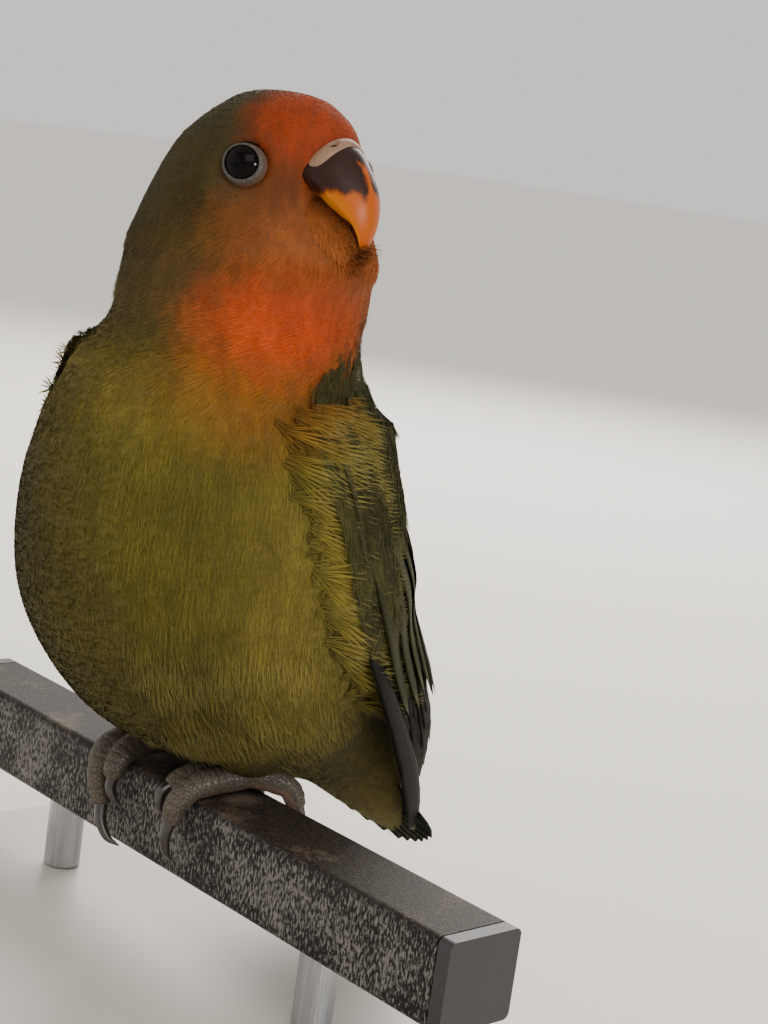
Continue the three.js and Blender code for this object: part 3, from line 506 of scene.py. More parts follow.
skin = make_piece(
    "bird_skin",
    skin_points,
    skin_faces,
    skin_finish,
    {"OFBake": np.array(corner_uv)},
    {
        "lie": np.vstack([lie_grid.reshape(-1, 3), [[0, 0.7, -0.7]], [unit([-0.9945, -0.1, 0.1])]]),
        "reach": np.append(reach_grid.ravel(), [5, 2.8]) / 1000,
        "cover": np.append(cover_grid.ravel(), [1, 1]),
    },
)
keep_values(skin.data, "zone", np.append(zone_grid[:-1], [9, 1] * SKIN_SIDES), "INT", "FACE")
dress(skin, "body_plumage", "torso", "neck", "head", "thigh_left", "thigh_right")


# Coat: loose body feathers, each a small tuft of fine barbs that lies along the body and bends in at its tip.
# Tufts are shortest round the bill and eyes and longest on the flanks. They are set over the skin by geometry
# nodes, and each stretch of the coat is a piece of its own.
TUFT_PATCH = 0.003


def make_tuft(name, blades, sections, width, spread, curl, seed):
    """A tuft one unit long: flat barbs that fan a little from one root, along Y with Z away from the skin."""
    draw = np.random.default_rng(seed)
    points, faces, along, patch = [], [], [], []
    for k in range(blades):
        side = (k + 0.5) / blades * 2 - 1
        root_x = side * spread * 0.35 + draw.uniform(-0.02, 0.02)
        tip_x = side * spread + draw.uniform(-0.05, 0.05)
        length = draw.uniform(0.72, 1.0) * (1 - 0.18 * side * side)
        roll = draw.uniform(-0.5, 0.5) + side * 0.35
        height = draw.uniform(-0.02, 0.03)
        bend = draw.uniform(-0.05, 0.05)
        start = len(points)
        for s in range(sections):
            t = s / sections
            x, z = root_x + (tip_x - root_x) * t + bend * t * t, height + curl * t * (1 - 1.25 * t)
            wide = width * (0.75 + 0.5 * t) * (1 - 0.35 * t * t)
            for hand in (-1, 1):
                edge = hand * wide
                points.append((x + edge * math.cos(roll), length * t, z + edge * math.sin(roll)))
                along.append(t)
                patch.append((0.5 + side * 0.4 + hand * 0.05, t, 0))
        points.append((tip_x + bend, length, height - 0.25 * curl))
        along.append(1.0)
        patch.append((0.5 + side * 0.4, 1.0, 0))
        for s in range(sections - 1):
            low = start + 2 * s
            faces.append((low, low + 1, low + 3, low + 2))
        low = start + 2 * (sections - 1)
        faces.append((low, low + 1, low + 2))
    mesh = bpy.data.meshes.new(name)
    mesh.from_pydata(points, [], faces)
    keep_values(mesh, "along", along)
    keep_values(mesh, "patch", patch, "FLOAT_VECTOR")
    mesh.shade_smooth()
    return bpy.data.objects.new(name, mesh)


def coat_tree():
    """Tufts set over one stretch of the skin, along its lie and sized by its reach."""
    tree = bpy.data.node_groups.new("coat_of_tufts", "GeometryNodeTree")
    kinds = {
        "Geometry": "NodeSocketGeometry",
        "Tuft": "NodeSocketObject",
        "Finish": "NodeSocketMaterial",
        "Stretch": "NodeSocketInt",
        "Tufts per square metre": "NodeSocketFloat",
        "Lift": "NodeSocketFloat",
        "Untidiness": "NodeSocketFloat",
        "Seed": "NodeSocketInt",
    }
    for name, kind in kinds.items():
        tree.interface.new_socket(name, in_out="INPUT", socket_type=kind)
    tree.interface.new_socket("Geometry", in_out="OUTPUT", socket_type="NodeSocketGeometry")
    given = add_node(tree, "NodeGroupInput").outputs
    out = add_node(tree, "NodeGroupOutput")

    def named(key, kind):
        """A stored attribute of the surface."""
        return add_node(tree, "GeometryNodeInputNamedAttribute", {"Name": key}, data_type=kind).outputs[0]

    def store(geometry, key, value, kind, domain="POINT"):
        """Keeps a value on the geometry under a name."""
        kept = {"Geometry": geometry, "Name": key, "Value": value}
        kept = add_node(tree, "GeometryNodeStoreNamedAttribute", kept, data_type=kind, domain=domain)
        return kept.outputs[0]

    chosen = {2: named("zone", "INT"), 3: given["Stretch"]}
    here = add_node(tree, "FunctionNodeCompare", chosen, data_type="INT", operation="EQUAL").outputs[0]
    density = reckon(tree, "MULTIPLY", named("cover", "FLOAT"), given["Tufts per square metre"])
    sown = {"Mesh": given["Geometry"], "Selection": here, "Density": density, "Seed": given["Seed"]}
    spread = add_node(tree, "GeometryNodeDistributePointsOnFaces", sown)
    shade = add_node(tree, "FunctionNodeRandomValue", {"Seed": given["Seed"]}).outputs[1]
    points = store(spread.outputs["Points"], "root_place", named("OFBake", "FLOAT_VECTOR"), "FLOAT_VECTOR")
    points = store(points, "shade", shade, "FLOAT")
    any_way = {0: (-1.0, -1.0, -1.0), 1: (1.0, 1.0, 1.0), "Seed": 7}
    stray = add_node(tree, "FunctionNodeRandomValue", any_way, data_type="FLOAT_VECTOR").outputs[0]
    lifted = vector(tree, "SCALE", spread.outputs["Normal"], scale=given["Lift"])
    way = vector(tree, "ADD", named("lie", "FLOAT_VECTOR"), lifted)
    way = vector(tree, "ADD", way, vector(tree, "SCALE", stray, scale=given["Untidiness"]))
    turned = {0: vector(tree, "NORMALIZE", way), 1: spread.outputs["Normal"]}
    turned = add_node(tree, "FunctionNodeAxesToRotation", turned, primary_axis="Y", secondary_axis="Z")
    vary = add_node(tree, "FunctionNodeRandomValue", {2: 0.8, 3: 1.15, "Seed": 11}).outputs[1]
    size = reckon(tree, "MULTIPLY", named("reach", "FLOAT"), vary)
    tuft = add_node(tree, "GeometryNodeObjectInfo", {0: given["Tuft"]}).outputs["Geometry"]
    placed = {"Points": points, "Instance": tuft, "Rotation": turned.outputs[0], "Scale": size}
    placed = add_node(tree, "GeometryNodeInstanceOnPoints", placed).outputs[0]
    solid = add_node(tree, "GeometryNodeRealizeInstances", {0: placed}).outputs[0]
    patch = vector(tree, "SCALE", named("patch", "FLOAT_VECTOR"), scale=TUFT_PATCH)
    unwrap = vector(tree, "ADD", named("root_place", "FLOAT_VECTOR"), patch)
    finished = {"Geometry": store(solid, "OFBake", unwrap, "FLOAT2", "CORNER"), "Material": given["Finish"]}
    finished = add_node(tree, "GeometryNodeSetMaterial", finished).outputs[0]
    tree.links.new(finished, out.inputs[0])
    return tree


def barb_finish(name, root_down_and_shade, pale_tip, gain, own=None):
    """Feather barbs in the plumage's markings or two tones of their own, dusky at the root with grey down and
    painted shade, pale at the tip.
    """
    finish, tree, shader, place = new_finish(name)
    if own is None:
        colour = add_node(tree, "ShaderNodeGroup", node_tree=markings).outputs[0]
    else:
        colour = blend(tree, soft_step(tree, noise(tree, place, 160.0), 0.35, 0.65), *own)
    along = stored(tree, "along")
    varied = soft_step(tree, stored(tree, "shade"), 0.0, 1.0, gain * 0.9, gain * 1.12)
    colour = vector(tree, "SCALE", colour, scale=varied)
    # Darker towards the root: the feather's grey down, with painted shade between the tufts.
    colour = blend(tree, soft_step(tree, along, 0.0, 0.6, root_down_and_shade, 0.0), colour, "#211f14")
    colour = blend(tree, soft_step(tree, along, 0.55, 1.0, 0.0, pale_tip), colour, "#cfc489")
    sheen = {"Specular_IOR_Level": 0.08, "Sheen_Weight": 0.03, "Sheen_Roughness": 0.5}
    set_surface(tree, shader, colour, noise(tree, place, 3000.0), 0.00002, 0.3, 0.7, **sheen)
    return finish


face_barbs = barb_finish("face_feather_barbs", 0.2, 0.03, 1.05)
body_barbs = barb_finish("body_feather_barbs", 0.3, 0.07, 1.05)
flank_barbs = barb_finish("flank_feather_barbs", 0.3, 0.14, 1.05)
# The chin's barbs: a brighter copy with no dusky roots, painted light on the chin, which lies in shade under
# the bill.
chin_barbs_painted_light = barb_finish("chin_feather_barbs_painted_light", 0.0, 0.05, 1.2)
# The fringe's barbs: a darker copy of the body's with the deepest dusky roots, painted shade between its loose
# tips.
fringe_barbs_painted_shade = barb_finish("fringe_feather_barbs_painted_shade", 0.5, 0.22, 0.95)
# The shoulder barbs: a lighter copy of the wing barbs' two tones, painted light for the mat on the right wing,
# which lies in shade.
shoulder_barbs_painted_light = barb_finish("shoulder_feather_barbs_painted_light", 0.25, 0.1, 1.3, ("#47451f", "#5d5927"))
wing_barbs = barb_finish("wing_feather_barbs", 0.35, 0.05, 1.0, ("#3b3b20", "#4e4c28"))
fine_tuft = make_tuft("fine_tuft", 8, 2, 0.022, 0.2, 0.09, 3)
soft_tuft = make_tuft("soft_tuft", 11, 2, 0.012, 0.2, 0.11, 5)

# Each stretch gives its name, number, tuft, finish, slot, tufts per square metre, lift and untidiness.
COAT_STRETCHES = [
    ("coat_face", 0, fine_tuft, face_barbs, "head_plumage", 7.6e6, 0.12, 0.07),
    ("coat_crown", 1, fine_tuft, face_barbs, "head_plumage", 3.4e6, 0.09, 0.06),
    ("coat_throat", 2, soft_tuft, body_barbs, "neck_plumage", 3.3e6, 0.14, 0.09),
    ("coat_nape", 3, soft_tuft, body_barbs, "neck_plumage", 2.2e6, 0.08, 0.07),
    ("coat_breast_left", 4, soft_tuft, body_barbs, "body_plumage", 3.2e6, 0.13, 0.08),
    ("coat_breast_right", 5, soft_tuft, flank_barbs, "body_plumage", 2.6e6, 0.26, 0.16),
    ("coat_belly_left", 6, soft_tuft, flank_barbs, "body_plumage", 3.0e6, 0.16, 0.12),
    ("coat_belly_right", 7, soft_tuft, flank_barbs, "body_plumage", 2.45e6, 0.31, 0.18),
    ("coat_back", 8, soft_tuft, body_barbs, "body_plumage", 0.85e6, 0.08, 0.06),
    ("coat_tail_root", 9, soft_tuft, body_barbs, "body_plumage", 1.15e6, 0.05, 0.05),
]
BAR_HALF_CLEAR, BAR_TOP_CLEAR = 0.0073, 0.0363
tufts_tree = coat_tree()
tuft_inputs = [item for item in tufts_tree.interface.items_tree if item.in_out == "INPUT"]
socket_of = {item.name: item.identifier for item in tuft_inputs}


def grow_coat(name, ground, stretch, tuft, finish, slot, tufts, lift, untidy):
    """Grows one stretch of the coat over a surface and keeps it as a plain mesh piece."""
    grown = show_mesh(name + "_grown", ground.data.copy())
    growth = grown.modifiers.new("growth", "NODES")
    growth.node_group = tufts_tree
    settings = {
        "Tuft": tuft,
        "Finish": finish,
        "Stretch": stretch,
        "Tufts per square metre": tufts * 1.0,
        "Lift": lift,
        "Untidiness": untidy,
        "Seed": stretch + 1,
    }
    for key, value in settings.items():
        growth[socket_of[key]] = value
    mesh = finished_mesh(grown)
    mesh.name = name
    # Where the belly rests by the bar, the barbs bend up along its top face instead of passing into it.
    where = np.empty(len(mesh.vertices) * 3, np.float32)
    mesh.vertices.foreach_get("co", where)
    where = where.reshape(-1, 3)
    on_bar = (np.abs(where[:, 1]) < BAR_HALF_CLEAR) & (where[:, 2] < BAR_TOP_CLEAR)
    where[on_bar, 2] = BAR_TOP_CLEAR
    mesh.vertices.foreach_set("co", where.ravel())
    mesh.update()
    dress(show_mesh(name, mesh), slot)


for name, stretch, *growing in COAT_STRETCHES:
    grow_coat(name, skin, stretch, *growing)


# Eyes: near black balls with a wet cornea, each sunk in the head inside a ring of bare, pale, finely pimpled
# lid that is widest below and towards the bill. Ball and lids are turned about the line that the eye looks
# along. Each ring of the lid gives its radius and its height along that line.
LID_RINGS = [
    (2.5, 2.0), (2.55, 2.34), (2.64, 2.5), (2.76, 2.5), (2.86, 2.34), (2.94, 2.1), (3.02, 1.7), (3.12, 1.1),
]
CORNEA_RISE, CORNEA_REACH, LID_WIDER = 0.12, 0.35, 0.6
EYE_RINGS, EYE_TURNS, LID_TURNS = 22, 48, 96


def turned_ring(hand, reach, height, turns, stretch=(1.0, 1.0)):
    """Points round one eye's axis, with turn 0 towards the bill and a quarter turn upwards."""
    middle, looks = eye_axis(hand)
    ahead = unit(head_forward - looks * np.dot(head_forward, looks))
    over = np.cross(looks, ahead) * hand
    over = over * np.sign(over[2])
    steps = np.cos(turns) * reach * stretch[0], np.sin(turns) * reach * stretch[1], np.asarray(height)
    return middle + steps[0][..., None] * ahead + steps[1][..., None] * over + steps[2][..., None] * looks


eye_finish, tree, shader, place = new_finish("wet_dark_eye")
far = stored(tree, "from_pupil")
fibres = noise(tree, place, 2500.0)
iris = blend(tree, fibres, "#070403", "#110a07")
iris = blend(tree, soft_step(tree, far, 1.25, 1.45, 0.0, 1.0), "#050404", iris)
iris = blend(tree, soft_step(tree, far, 1.95, 2.2, 0.0, 1.0), iris, "#0b0807")
set_surface(tree, shader, iris, roughness=0.03, IOR=1.34, Specular_IOR_Level=0.13)

lid_finish, tree, shader, place = new_finish("bare_lid_skin")
pimples = add_node(tree, "ShaderNodeTexVoronoi", {"Vector": place, "Scale": 2400.0}).outputs["Distance"]
lid_tone = blend(tree, soft_step(tree, pimples, 0.1, 0.7), "#524d48", "#3d3935")
rim = stored(tree, "rim")
lid_tone = blend(tree, soft_step(tree, rim, 0.0, 0.3, 0.9, 0.0), lid_tone, "#1f1b1a")
lid_tone = blend(tree, soft_step(tree, rim, 0.5, 1.0, 0.0, 0.85), lid_tone, "#5d3f2c")
set_surface(tree, shader, lid_tone, pimples, 0.00008, 0.5, 0.55, Specular_IOR_Level=0.35)

for side, hand in (("left", 1), ("right", -1)):
    turns = np.arange(EYE_TURNS) / EYE_TURNS * 2 * math.pi
    rows, far = [], []
    for tip in np.linspace(0.02, 1.9, EYE_RINGS):
        bulge = EYE_BALL + CORNEA_RISE * math.exp(-((tip / CORNEA_REACH) ** 2))
        ring = np.full(EYE_TURNS, bulge * math.sin(tip))
        rows.append(turned_ring(hand, ring, np.full(EYE_TURNS, bulge * math.cos(tip)), turns))
        far += [bulge * math.sin(tip) if tip < 1.5 else EYE_BALL] * EYE_TURNS
    rows.append(turned_ring(hand, np.zeros(1), np.array([EYE_BALL + CORNEA_RISE]), np.zeros(1)))
    pole = EYE_RINGS * EYE_TURNS
    faces = ring_faces(EYE_RINGS, EYE_TURNS) + [(pole, s, (s + 1) % EYE_TURNS) for s in range(EYE_TURNS)]
    far = {"from_pupil": far + [0.0]}
    dress(make_piece(f"eyeball_{side}", np.vstack(rows), faces, eye_finish, None, far), "eye", f"eye_{side}")

    turns = np.arange(LID_TURNS) / LID_TURNS * 2 * math.pi
    wider = (0.5 + 0.5 * np.cos(turns + 0.9)) ** 1.5
    rows, rim = [], []
    for k, (reach, height) in enumerate(LID_RINGS):
        share = k / (len(LID_RINGS) - 1)
        crinkle = 0.035 * np.cos(turns * 26 + k * math.pi) * math.sin(math.pi * share)
        reach = reach + LID_WIDER * wider * share
        rows.append(turned_ring(hand, reach, height + crinkle, turns, (1.04, 0.96)))
        rim += [share] * LID_TURNS
    faces = ring_faces(len(LID_RINGS), LID_TURNS)
    dress(make_piece(f"lids_{side}", np.vstack(rows), faces, lid_finish, None, {"rim": rim}), "cere")


# Bill: two halves of smooth horn, the upper one hooked over the lower. Orange yellow, with the dark patch at
# its base that a young bird has. Each section runs from its ridge point to its edge point, forward and up in
# the head, and ends with its half width.
BILL = [
    (11.5, 9.3, 9.5, 0.4, 5.9), (16.3, 8.5, 13.0, 0.2, 5.8), (18.9, 5.8, 15.6, -1.4, 5.1),
    (20.7, 2.8, 17.8, -2.6, 4.1), (21.5, -0.6, 19.3, -3.4, 2.9), (21.5, -3.4, 20.1, -4.8, 1.9),
    (21.1, -5.3, 20.3, -6.1, 1.1),
]
LOWER_BILL = [
    (9.5, 0.4, 9.5, -5.6, 4.8), (13.2, -0.4, 12.8, -6.4, 4.5), (16.0, -2.0, 15.6, -6.9, 3.6),
    (17.9, -3.8, 17.6, -6.7, 2.5),
]
BILL_TIP, LOWER_BILL_TIP, BILL_KEEL = (20.2, -7.3), (18.9, -5.6), 0.34
BILL_RINGS, BILL_SIDES = 60, 64


def bill_rings(sections, shares, sides, swell=0.0):
    """Rounded rings round a bill at shares of its length."""
    ridge, edge = (spline(np.array(sections)[:, run], shares) for run in ([0, 1], [2, 3]))
    half = np.interp(shares, np.linspace(0, 1, len(sections)), np.array(sections)[:, 4])
    middle, reach = (ridge + edge) / 2, (ridge - edge) / 2
    long = np.linalg.norm(reach, axis=-1)
    reach = reach / long[:, None]
    turns = np.arange(sides) / sides * 2 * math.pi
    lift = np.cos(turns)[None, :]
    swell = np.broadcast_to(np.asarray(swell, float), (len(shares), sides))
    long, half = long[:, None] + swell, half[:, None] + swell
    sideways = half * np.sin(turns)[None, :] * (1 - BILL_KEEL * np.clip(lift, -0.3, 1))
    forward = middle[:, :1] + reach[:, :1] * long * lift
    up = middle[:, 1:] + reach[:, 1:] * long * lift
    return head_point(forward, sideways, up), np.broadcast_to(lift, long.shape)


bill_finish, tree, shader, place = new_finish("bill_horn")
lift = stored(tree, "bill_lift")
cloud = noise(tree, place, 420.0, 3.0)
fine = noise(tree, place, 1500.0, 4.0, 0.6, (1.0, 1.0, 0.3))
horn = blend(tree, soft_step(tree, lift, -0.7, 0.5), "#b97200", "#b65400")
horn = blend(tree, reckon(tree, "MULTIPLY", fine, 0.35), horn, "#a84e05")
# Darker along the lowest edge of each half: painted shade at the mouth line and under the lower bill.
horn = blend(tree, soft_step(tree, lift, -1.0, -0.8, 0.6, 0.0), horn, "#7a3c08")
above_mouth = stored(tree, "bill_up")
off_ridge = stored(tree, "bill_side")
ragged = reckon(tree, "MULTIPLY_ADD", cloud, 4.0, reckon(tree, "ADD", above_mouth, -2.0))
patch = reckon(tree, "MULTIPLY_ADD", cloud, 2.0, reckon(tree, "ADD", off_ridge, -1.0))
patch = reckon(tree, "MAXIMUM", soft_step(tree, patch, 0.3, 1.1), soft_step(tree, ragged, 5.0, 6.8))
around = reckon(tree, "MULTIPLY", patch, soft_step(tree, ragged, 0.6, 1.9))
horn = blend(tree, around, horn, "#6a2f08")
patch = reckon(tree, "MULTIPLY", patch, soft_step(tree, ragged, 1.3, 2.3))
horn = blend(tree, patch, horn, blend(tree, fine, "#1c0e0b", "#3a201a"))
growth = noise(tree, place, 900.0, 2.0, 0.5)
set_surface(tree, shader, horn, growth, 0.00005, 0.45, 0.38, Specular_IOR_Level=0.16)

shares = np.linspace(0.02, 1, BILL_RINGS) ** 0.9
for name, sections, tip, node in (
    ("bill_upper_horn", BILL, BILL_TIP, "bill_upper"),
    ("bill_lower_horn", LOWER_BILL, LOWER_BILL_TIP, "bill_lower"),
):
    rings, lift = bill_rings(sections, shares, BILL_SIDES)
    horn_points = np.vstack([rings.reshape(-1, 3), head_point(tip[0], 0, tip[1])])
    pole = BILL_RINGS * BILL_SIDES
    last = pole - BILL_SIDES
    faces = ring_faces(BILL_RINGS, BILL_SIDES)
    faces += [(last + s, last + (s + 1) % BILL_SIDES, pole) for s in range(BILL_SIDES)]
    placed = in_head(horn_points)
    shown = {
        "bill_up": placed[:, 2],
        "bill_side": np.abs(placed[:, 1]),
        "bill_lift": np.append(lift.ravel(), -1.0),
    }
    dress(make_piece(name, horn_points, faces, bill_finish, None, shown), "bill", node)

# Chin feathers: short and close, they wrap the lower bill up to the mouth line and hang forward of the throat.
# They grow on a grid of points that is taken away again, as the feathers over the wings do.
MAT_STRETCH = 20
CHIN_RINGS, CHIN_CLOSING, CHIN_SIDES = 36, 8, 60


def grow_on_mat(name, mat, closed, turned, lie, reach, cover, *growing):
    """Grows a stretch of coat from a grid of points. Reach is in millimetres, and cover runs from 0 to 1."""
    rows, columns = mat.shape[:2]
    faces = ring_faces(rows, columns, closed)
    if turned:
        faces = [face[::-1] for face in faces]
    place_on = np.meshgrid(np.linspace(0.03, 0.97, columns), np.linspace(0.03, 0.97, rows))
    reach, cover = (np.broadcast_to(share, (rows, columns)).ravel() for share in (reach, cover))
    unwrap = {"OFBake": np.stack(place_on, -1).reshape(-1, 2)}
    growth = {"lie": lie.reshape(-1, 3), "reach": reach / 1000, "cover": np.clip(cover, 0, 1)}
    ground = make_piece(name + "_ground", mat.reshape(-1, 3), faces, skin_finish, unwrap, growth)
    keep_values(ground.data, "zone", np.full(len(faces), MAT_STRETCH), "INT", "FACE")
    grow_coat(name, ground, MAT_STRETCH, *growing)
    bpy.data.objects.remove(ground)


off_bill = np.linspace(1.1, 0.9, CHIN_RINGS)[:, None]
rings, lift = bill_rings(LOWER_BILL, np.linspace(0.0, 0.96, CHIN_RINGS), CHIN_SIDES, off_bill)
closing = np.sin(np.linspace(0.2, 1.0, CHIN_CLOSING) * math.pi / 2)[:, None, None]
front_middle = rings[-1:].mean(1, keepdims=True) + head_forward * 1.7
rings = np.vstack([rings, rings[-1:] * (1 - closing) + front_middle * closing])
lift = np.vstack([lift, np.repeat(lift[-1:], CHIN_CLOSING, 0)])
out_of_bill = unit(rings - rings.mean(1, keepdims=True) + head_forward * 0.3)
hang = np.broadcast_to(head_forward * 0.35 - head_up, rings.shape)
hang = unit(hang - out_of_bill * np.sum(hang * out_of_bill, -1)[..., None] + 1e-6)
reach = 2.8 + 2.2 * np.clip(-lift, 0, 1)
# The chin takes the brighter barbs: painted light under the bill.
chin_growing = (fine_tuft, chin_barbs_painted_light, "head_plumage", 1.3e7, 0.22, 0.14)
grow_on_mat("coat_chin", rings, True, True, hang, reach, 1.0, *chin_growing)


# Cere: a puffed band of pale bare skin over the base of the bill, with the two nostrils pressed into it as
# dents darkened with painted shade.
CERE_FROM, CERE_TO, CERE_PROUD, CERE_SUNK, CERE_SIDE_SUNK = 0.4, 1.06, 0.75, 0.12, 0.3
CERE_RINGS, CERE_SIDES = 26, 160
NOSTRIL_AT, NOSTRIL_REACH, NOSTRIL_DEPTH = (15.0, 2.8, 8.7), 0.85, 1.1
cere_finish, tree, shader, place = new_finish("cere_skin")
pit = stored(tree, "nostril")
cere_grain = noise(tree, place, 2200.0, 4.0)
cere_tone = blend(tree, cere_grain, "#7a5b46", "#9c7d66")
# The nostril dents are darkened: painted shade inside the holes.
cere_tone = blend(tree, soft_step(tree, pit, 0.2, 0.8), cere_tone, "#3a2620")
set_surface(tree, shader, cere_tone, cere_grain, 0.0001, 0.5, 0.55, Specular_IOR_Level=0.35)
shares = np.linspace(CERE_FROM, CERE_TO, CERE_RINGS) / (len(BILL) - 1)
puff = np.sqrt(np.clip(np.sin(np.linspace(0.03, 0.985, CERE_RINGS) * math.pi), 0, 1))[:, None]
puff = CERE_PROUD * puff - CERE_SUNK
turns = np.arange(CERE_SIDES) / CERE_SIDES * 2 * math.pi
over_ridge = np.clip((np.cos(turns) + 0.25) / 0.8, 0, 1)[None, :]
puff = (puff + CERE_SUNK) * over_ridge - CERE_SUNK - CERE_SIDE_SUNK * (1 - over_ridge)
rings, _ = bill_rings(BILL, shares, CERE_SIDES, puff)
pits = np.zeros(rings.shape[:2])
for hand in (1, -1):
    nostril = head_point(NOSTRIL_AT[0], NOSTRIL_AT[1] * hand, NOSTRIL_AT[2])
    pits = np.maximum(pits, np.clip(1 - np.linalg.norm(rings - nostril, axis=-1) / NOSTRIL_REACH, 0, 1))
inward = unit(head_point(13.5, 0, 4.0) - rings)
rings = (rings + inward * (NOSTRIL_DEPTH * np.sqrt(pits))[..., None]).reshape(-1, 3)
faces = ring_faces(CERE_RINGS, CERE_SIDES)
dress(make_piece("cere_band", rings, faces, cere_finish, None, {"nostril": pits.ravel()}), "cere", "cere")


# Wings: folded along the back, their flight feathers in tiers over a thin fleshy core, each tier laid over
# the roots of the one behind it. Every feather is a closed vane, arched across, its shaft off the middle. An
# edge of the wing follows the body by station and angle, then runs free by side, back and up distances.
RUMP_AT, RUMP_HEADING = np.array([0.8, 0, 0]), math.radians(2)
WING_LOWER = [(9.2, 20), (8.4, 12), (7.2, 5), (6, -1), (4.7, -8)], [(18.8, 27.5, 5.6), (12, 39.2, -7.8)]
WING_UPPER = [(9.5, -48), (8.9, -70), (8, -83), (6.9, -87), (5.7, -88)], [(4.4, 35, 18), (4.6, 45.5, -0.8)]
BULGE_SHOULDER, BULGE_TIPS, BULGE_BEND, BULGE_FEATHERS, BEND_LENGTH = 8.9, 3.4, 0.67, 3.0, 0.2
FEATHERS_AT, FEATHERS_WIDE, PANEL_STEP = 0.62, 0.17, 0.002
# Each tier gives its count, its roots (along from and to, up from and to), its tips the same way, its lift,
# half width, tone and outline.
WING_TIERS = [
    (11, (0.50, 0.40, 0.06, 0.70), (0.995, 0.85, -0.26, 0.38), 0.4, 3.3, 0.0, "flight"),
    (10, (0.30, 0.26, 0.08, 0.88), (0.76, 0.88, 0.06, 0.94), 2.2, 3.1, 0.35, "flight"),
    (11, (0.18, 0.16, 0.06, 0.92), (0.52, 0.50, 0.04, 0.94), 1.3, 2.6, 0.6, "covert"),
    (12, (0.10, 0.10, 0.06, 0.92), (0.38, 0.37, 0.05, 0.94), 1.6, 2.3, 0.8, "covert"),
]
VANE_OUTLINES = {
    "flight": ([0, 0.12, 0.4, 0.7, 0.86, 0.95, 1], [0.45, 0.75, 1, 0.98, 0.78, 0.46, 0.03]),
    "covert": ([0, 0.2, 0.5, 0.75, 0.9, 0.97, 1], [0.5, 0.85, 1, 0.98, 0.74, 0.42, 0.03]),
    "tail": ([0, 0.25, 0.6, 0.85, 0.95, 1], [0.45, 0.85, 1, 0.94, 0.6, 0.05]),
}
VANE_STEPS, VANE_ACROSS, VANE_THICK, VANE_CAMBER, VANE_FRAY = 16, 9, 0.28, 0.16, 0.05


def wing_panel(hand):
    """The curved surface that one folded wing's feathers lie on: hand is 1 for the left, -1 for the right."""

    def edge(on_body, free):
        """The points of one edge, on the body and then free of it."""
        points = [body_point(s, a if hand > 0 else 180 - a) for s, a in on_body]
        cosine, sine = math.cos(RUMP_HEADING), math.sin(RUMP_HEADING)
        for side, back, up in free:
            side = side * hand
            points.append(RUMP_AT + np.array([cosine * side - sine * back, sine * side + cosine * back, up]))
        return np.array(points)

    lower, upper = edge(*WING_LOWER), edge(*WING_UPPER)

    def ruled(along, up):
        """A point on the straight line from the lower edge to the upper."""
        low, high = spline(lower, along), spline(upper, along)
        return low + (high - low) * np.asarray(up)[..., None]

    def surface(along, up, lift=0.0):
        """Points of the bulging panel, lifted off it, and the way it faces there."""
        along = np.clip(np.asarray(along, float), PANEL_STEP, 1 - PANEL_STEP)
        along, up = np.broadcast_arrays(along, np.asarray(up, float))
        down = ruled(along + PANEL_STEP, up) - ruled(along - PANEL_STEP, up)
        over = ruled(along, np.ones_like(along)) - ruled(along, np.zeros_like(along))
        flat = unit(np.cross(over, down)) * -hand
        settled = np.clip(along / BEND_LENGTH, 0, 1)
        settled = BULGE_BEND + (1 - BULGE_BEND) * settled**2 * (3 - 2 * settled)
        bulge = (BULGE_SHOULDER + (BULGE_TIPS - BULGE_SHOULDER) * along**2) * settled
        bulge = bulge + BULGE_FEATHERS * np.exp(-(((along - FEATHERS_AT) / FEATHERS_WIDE) ** 2))
        arch = math.pi * np.clip(up, 0, 1)
        wide = np.linalg.norm(over, axis=-1)
        normal = unit(flat - unit(over) * (bulge * math.pi * np.cos(arch) / wide)[..., None])
        return ruled(along, up) + flat * (bulge * np.sin(arch) + lift)[..., None], normal

    return surface


def lay_vane(middles, normals, half, outline, tilt, shaft, seed):
    """Rings of points round one vane that follows a line of points, and their place across and along it."""
    draw = np.random.default_rng(seed)
    steps = len(middles)
    along = np.linspace(0, 1, steps)
    tangent = unit(np.gradient(middles, axis=0))
    sideways = unit(np.cross(normals, tangent))
    normal = np.cross(tangent, sideways)
    cosine, sine = math.cos(tilt), math.sin(tilt)
    sideways, normal = sideways * cosine + normal * sine, normal * cosine - sideways * sine
    wide = half * np.interp(along, *VANE_OUTLINES[outline])
    across = np.linspace(1, -1, VANE_ACROSS)
    ring = np.concatenate([across, across[-2:0:-1]])
    top = np.concatenate([np.ones(VANE_ACROSS), -np.ones(VANE_ACROSS - 2)])
    frayed = (np.abs(ring) > 0.9) * (along[:, None] > 0.2)
    fray = 1 + VANE_FRAY * draw.standard_normal((steps, len(ring))) * frayed
    reach = wide[:, None] * (ring[None, :] * fray + shaft * (1 - ring[None, :] ** 2))
    rise = wide[:, None] * VANE_CAMBER * (1 - ring[None, :] ** 2)
    thick = VANE_THICK / 2 * (1 - 0.9 * ring[None, :] ** 4) * np.minimum(1, wide[:, None] / half + 0.1)
    rise = rise + top * thick
    points = middles[:, None] + sideways[:, None] * reach[..., None] + normal[:, None] * rise[..., None]
    barb = np.stack(np.broadcast_arrays(ring[None, :] * 0.5 + 0.5, along[:, None]), -1)
    return points.reshape(-1, 3), barb.reshape(-1, 2), np.broadcast_to(top[None, :], reach.shape).ravel()


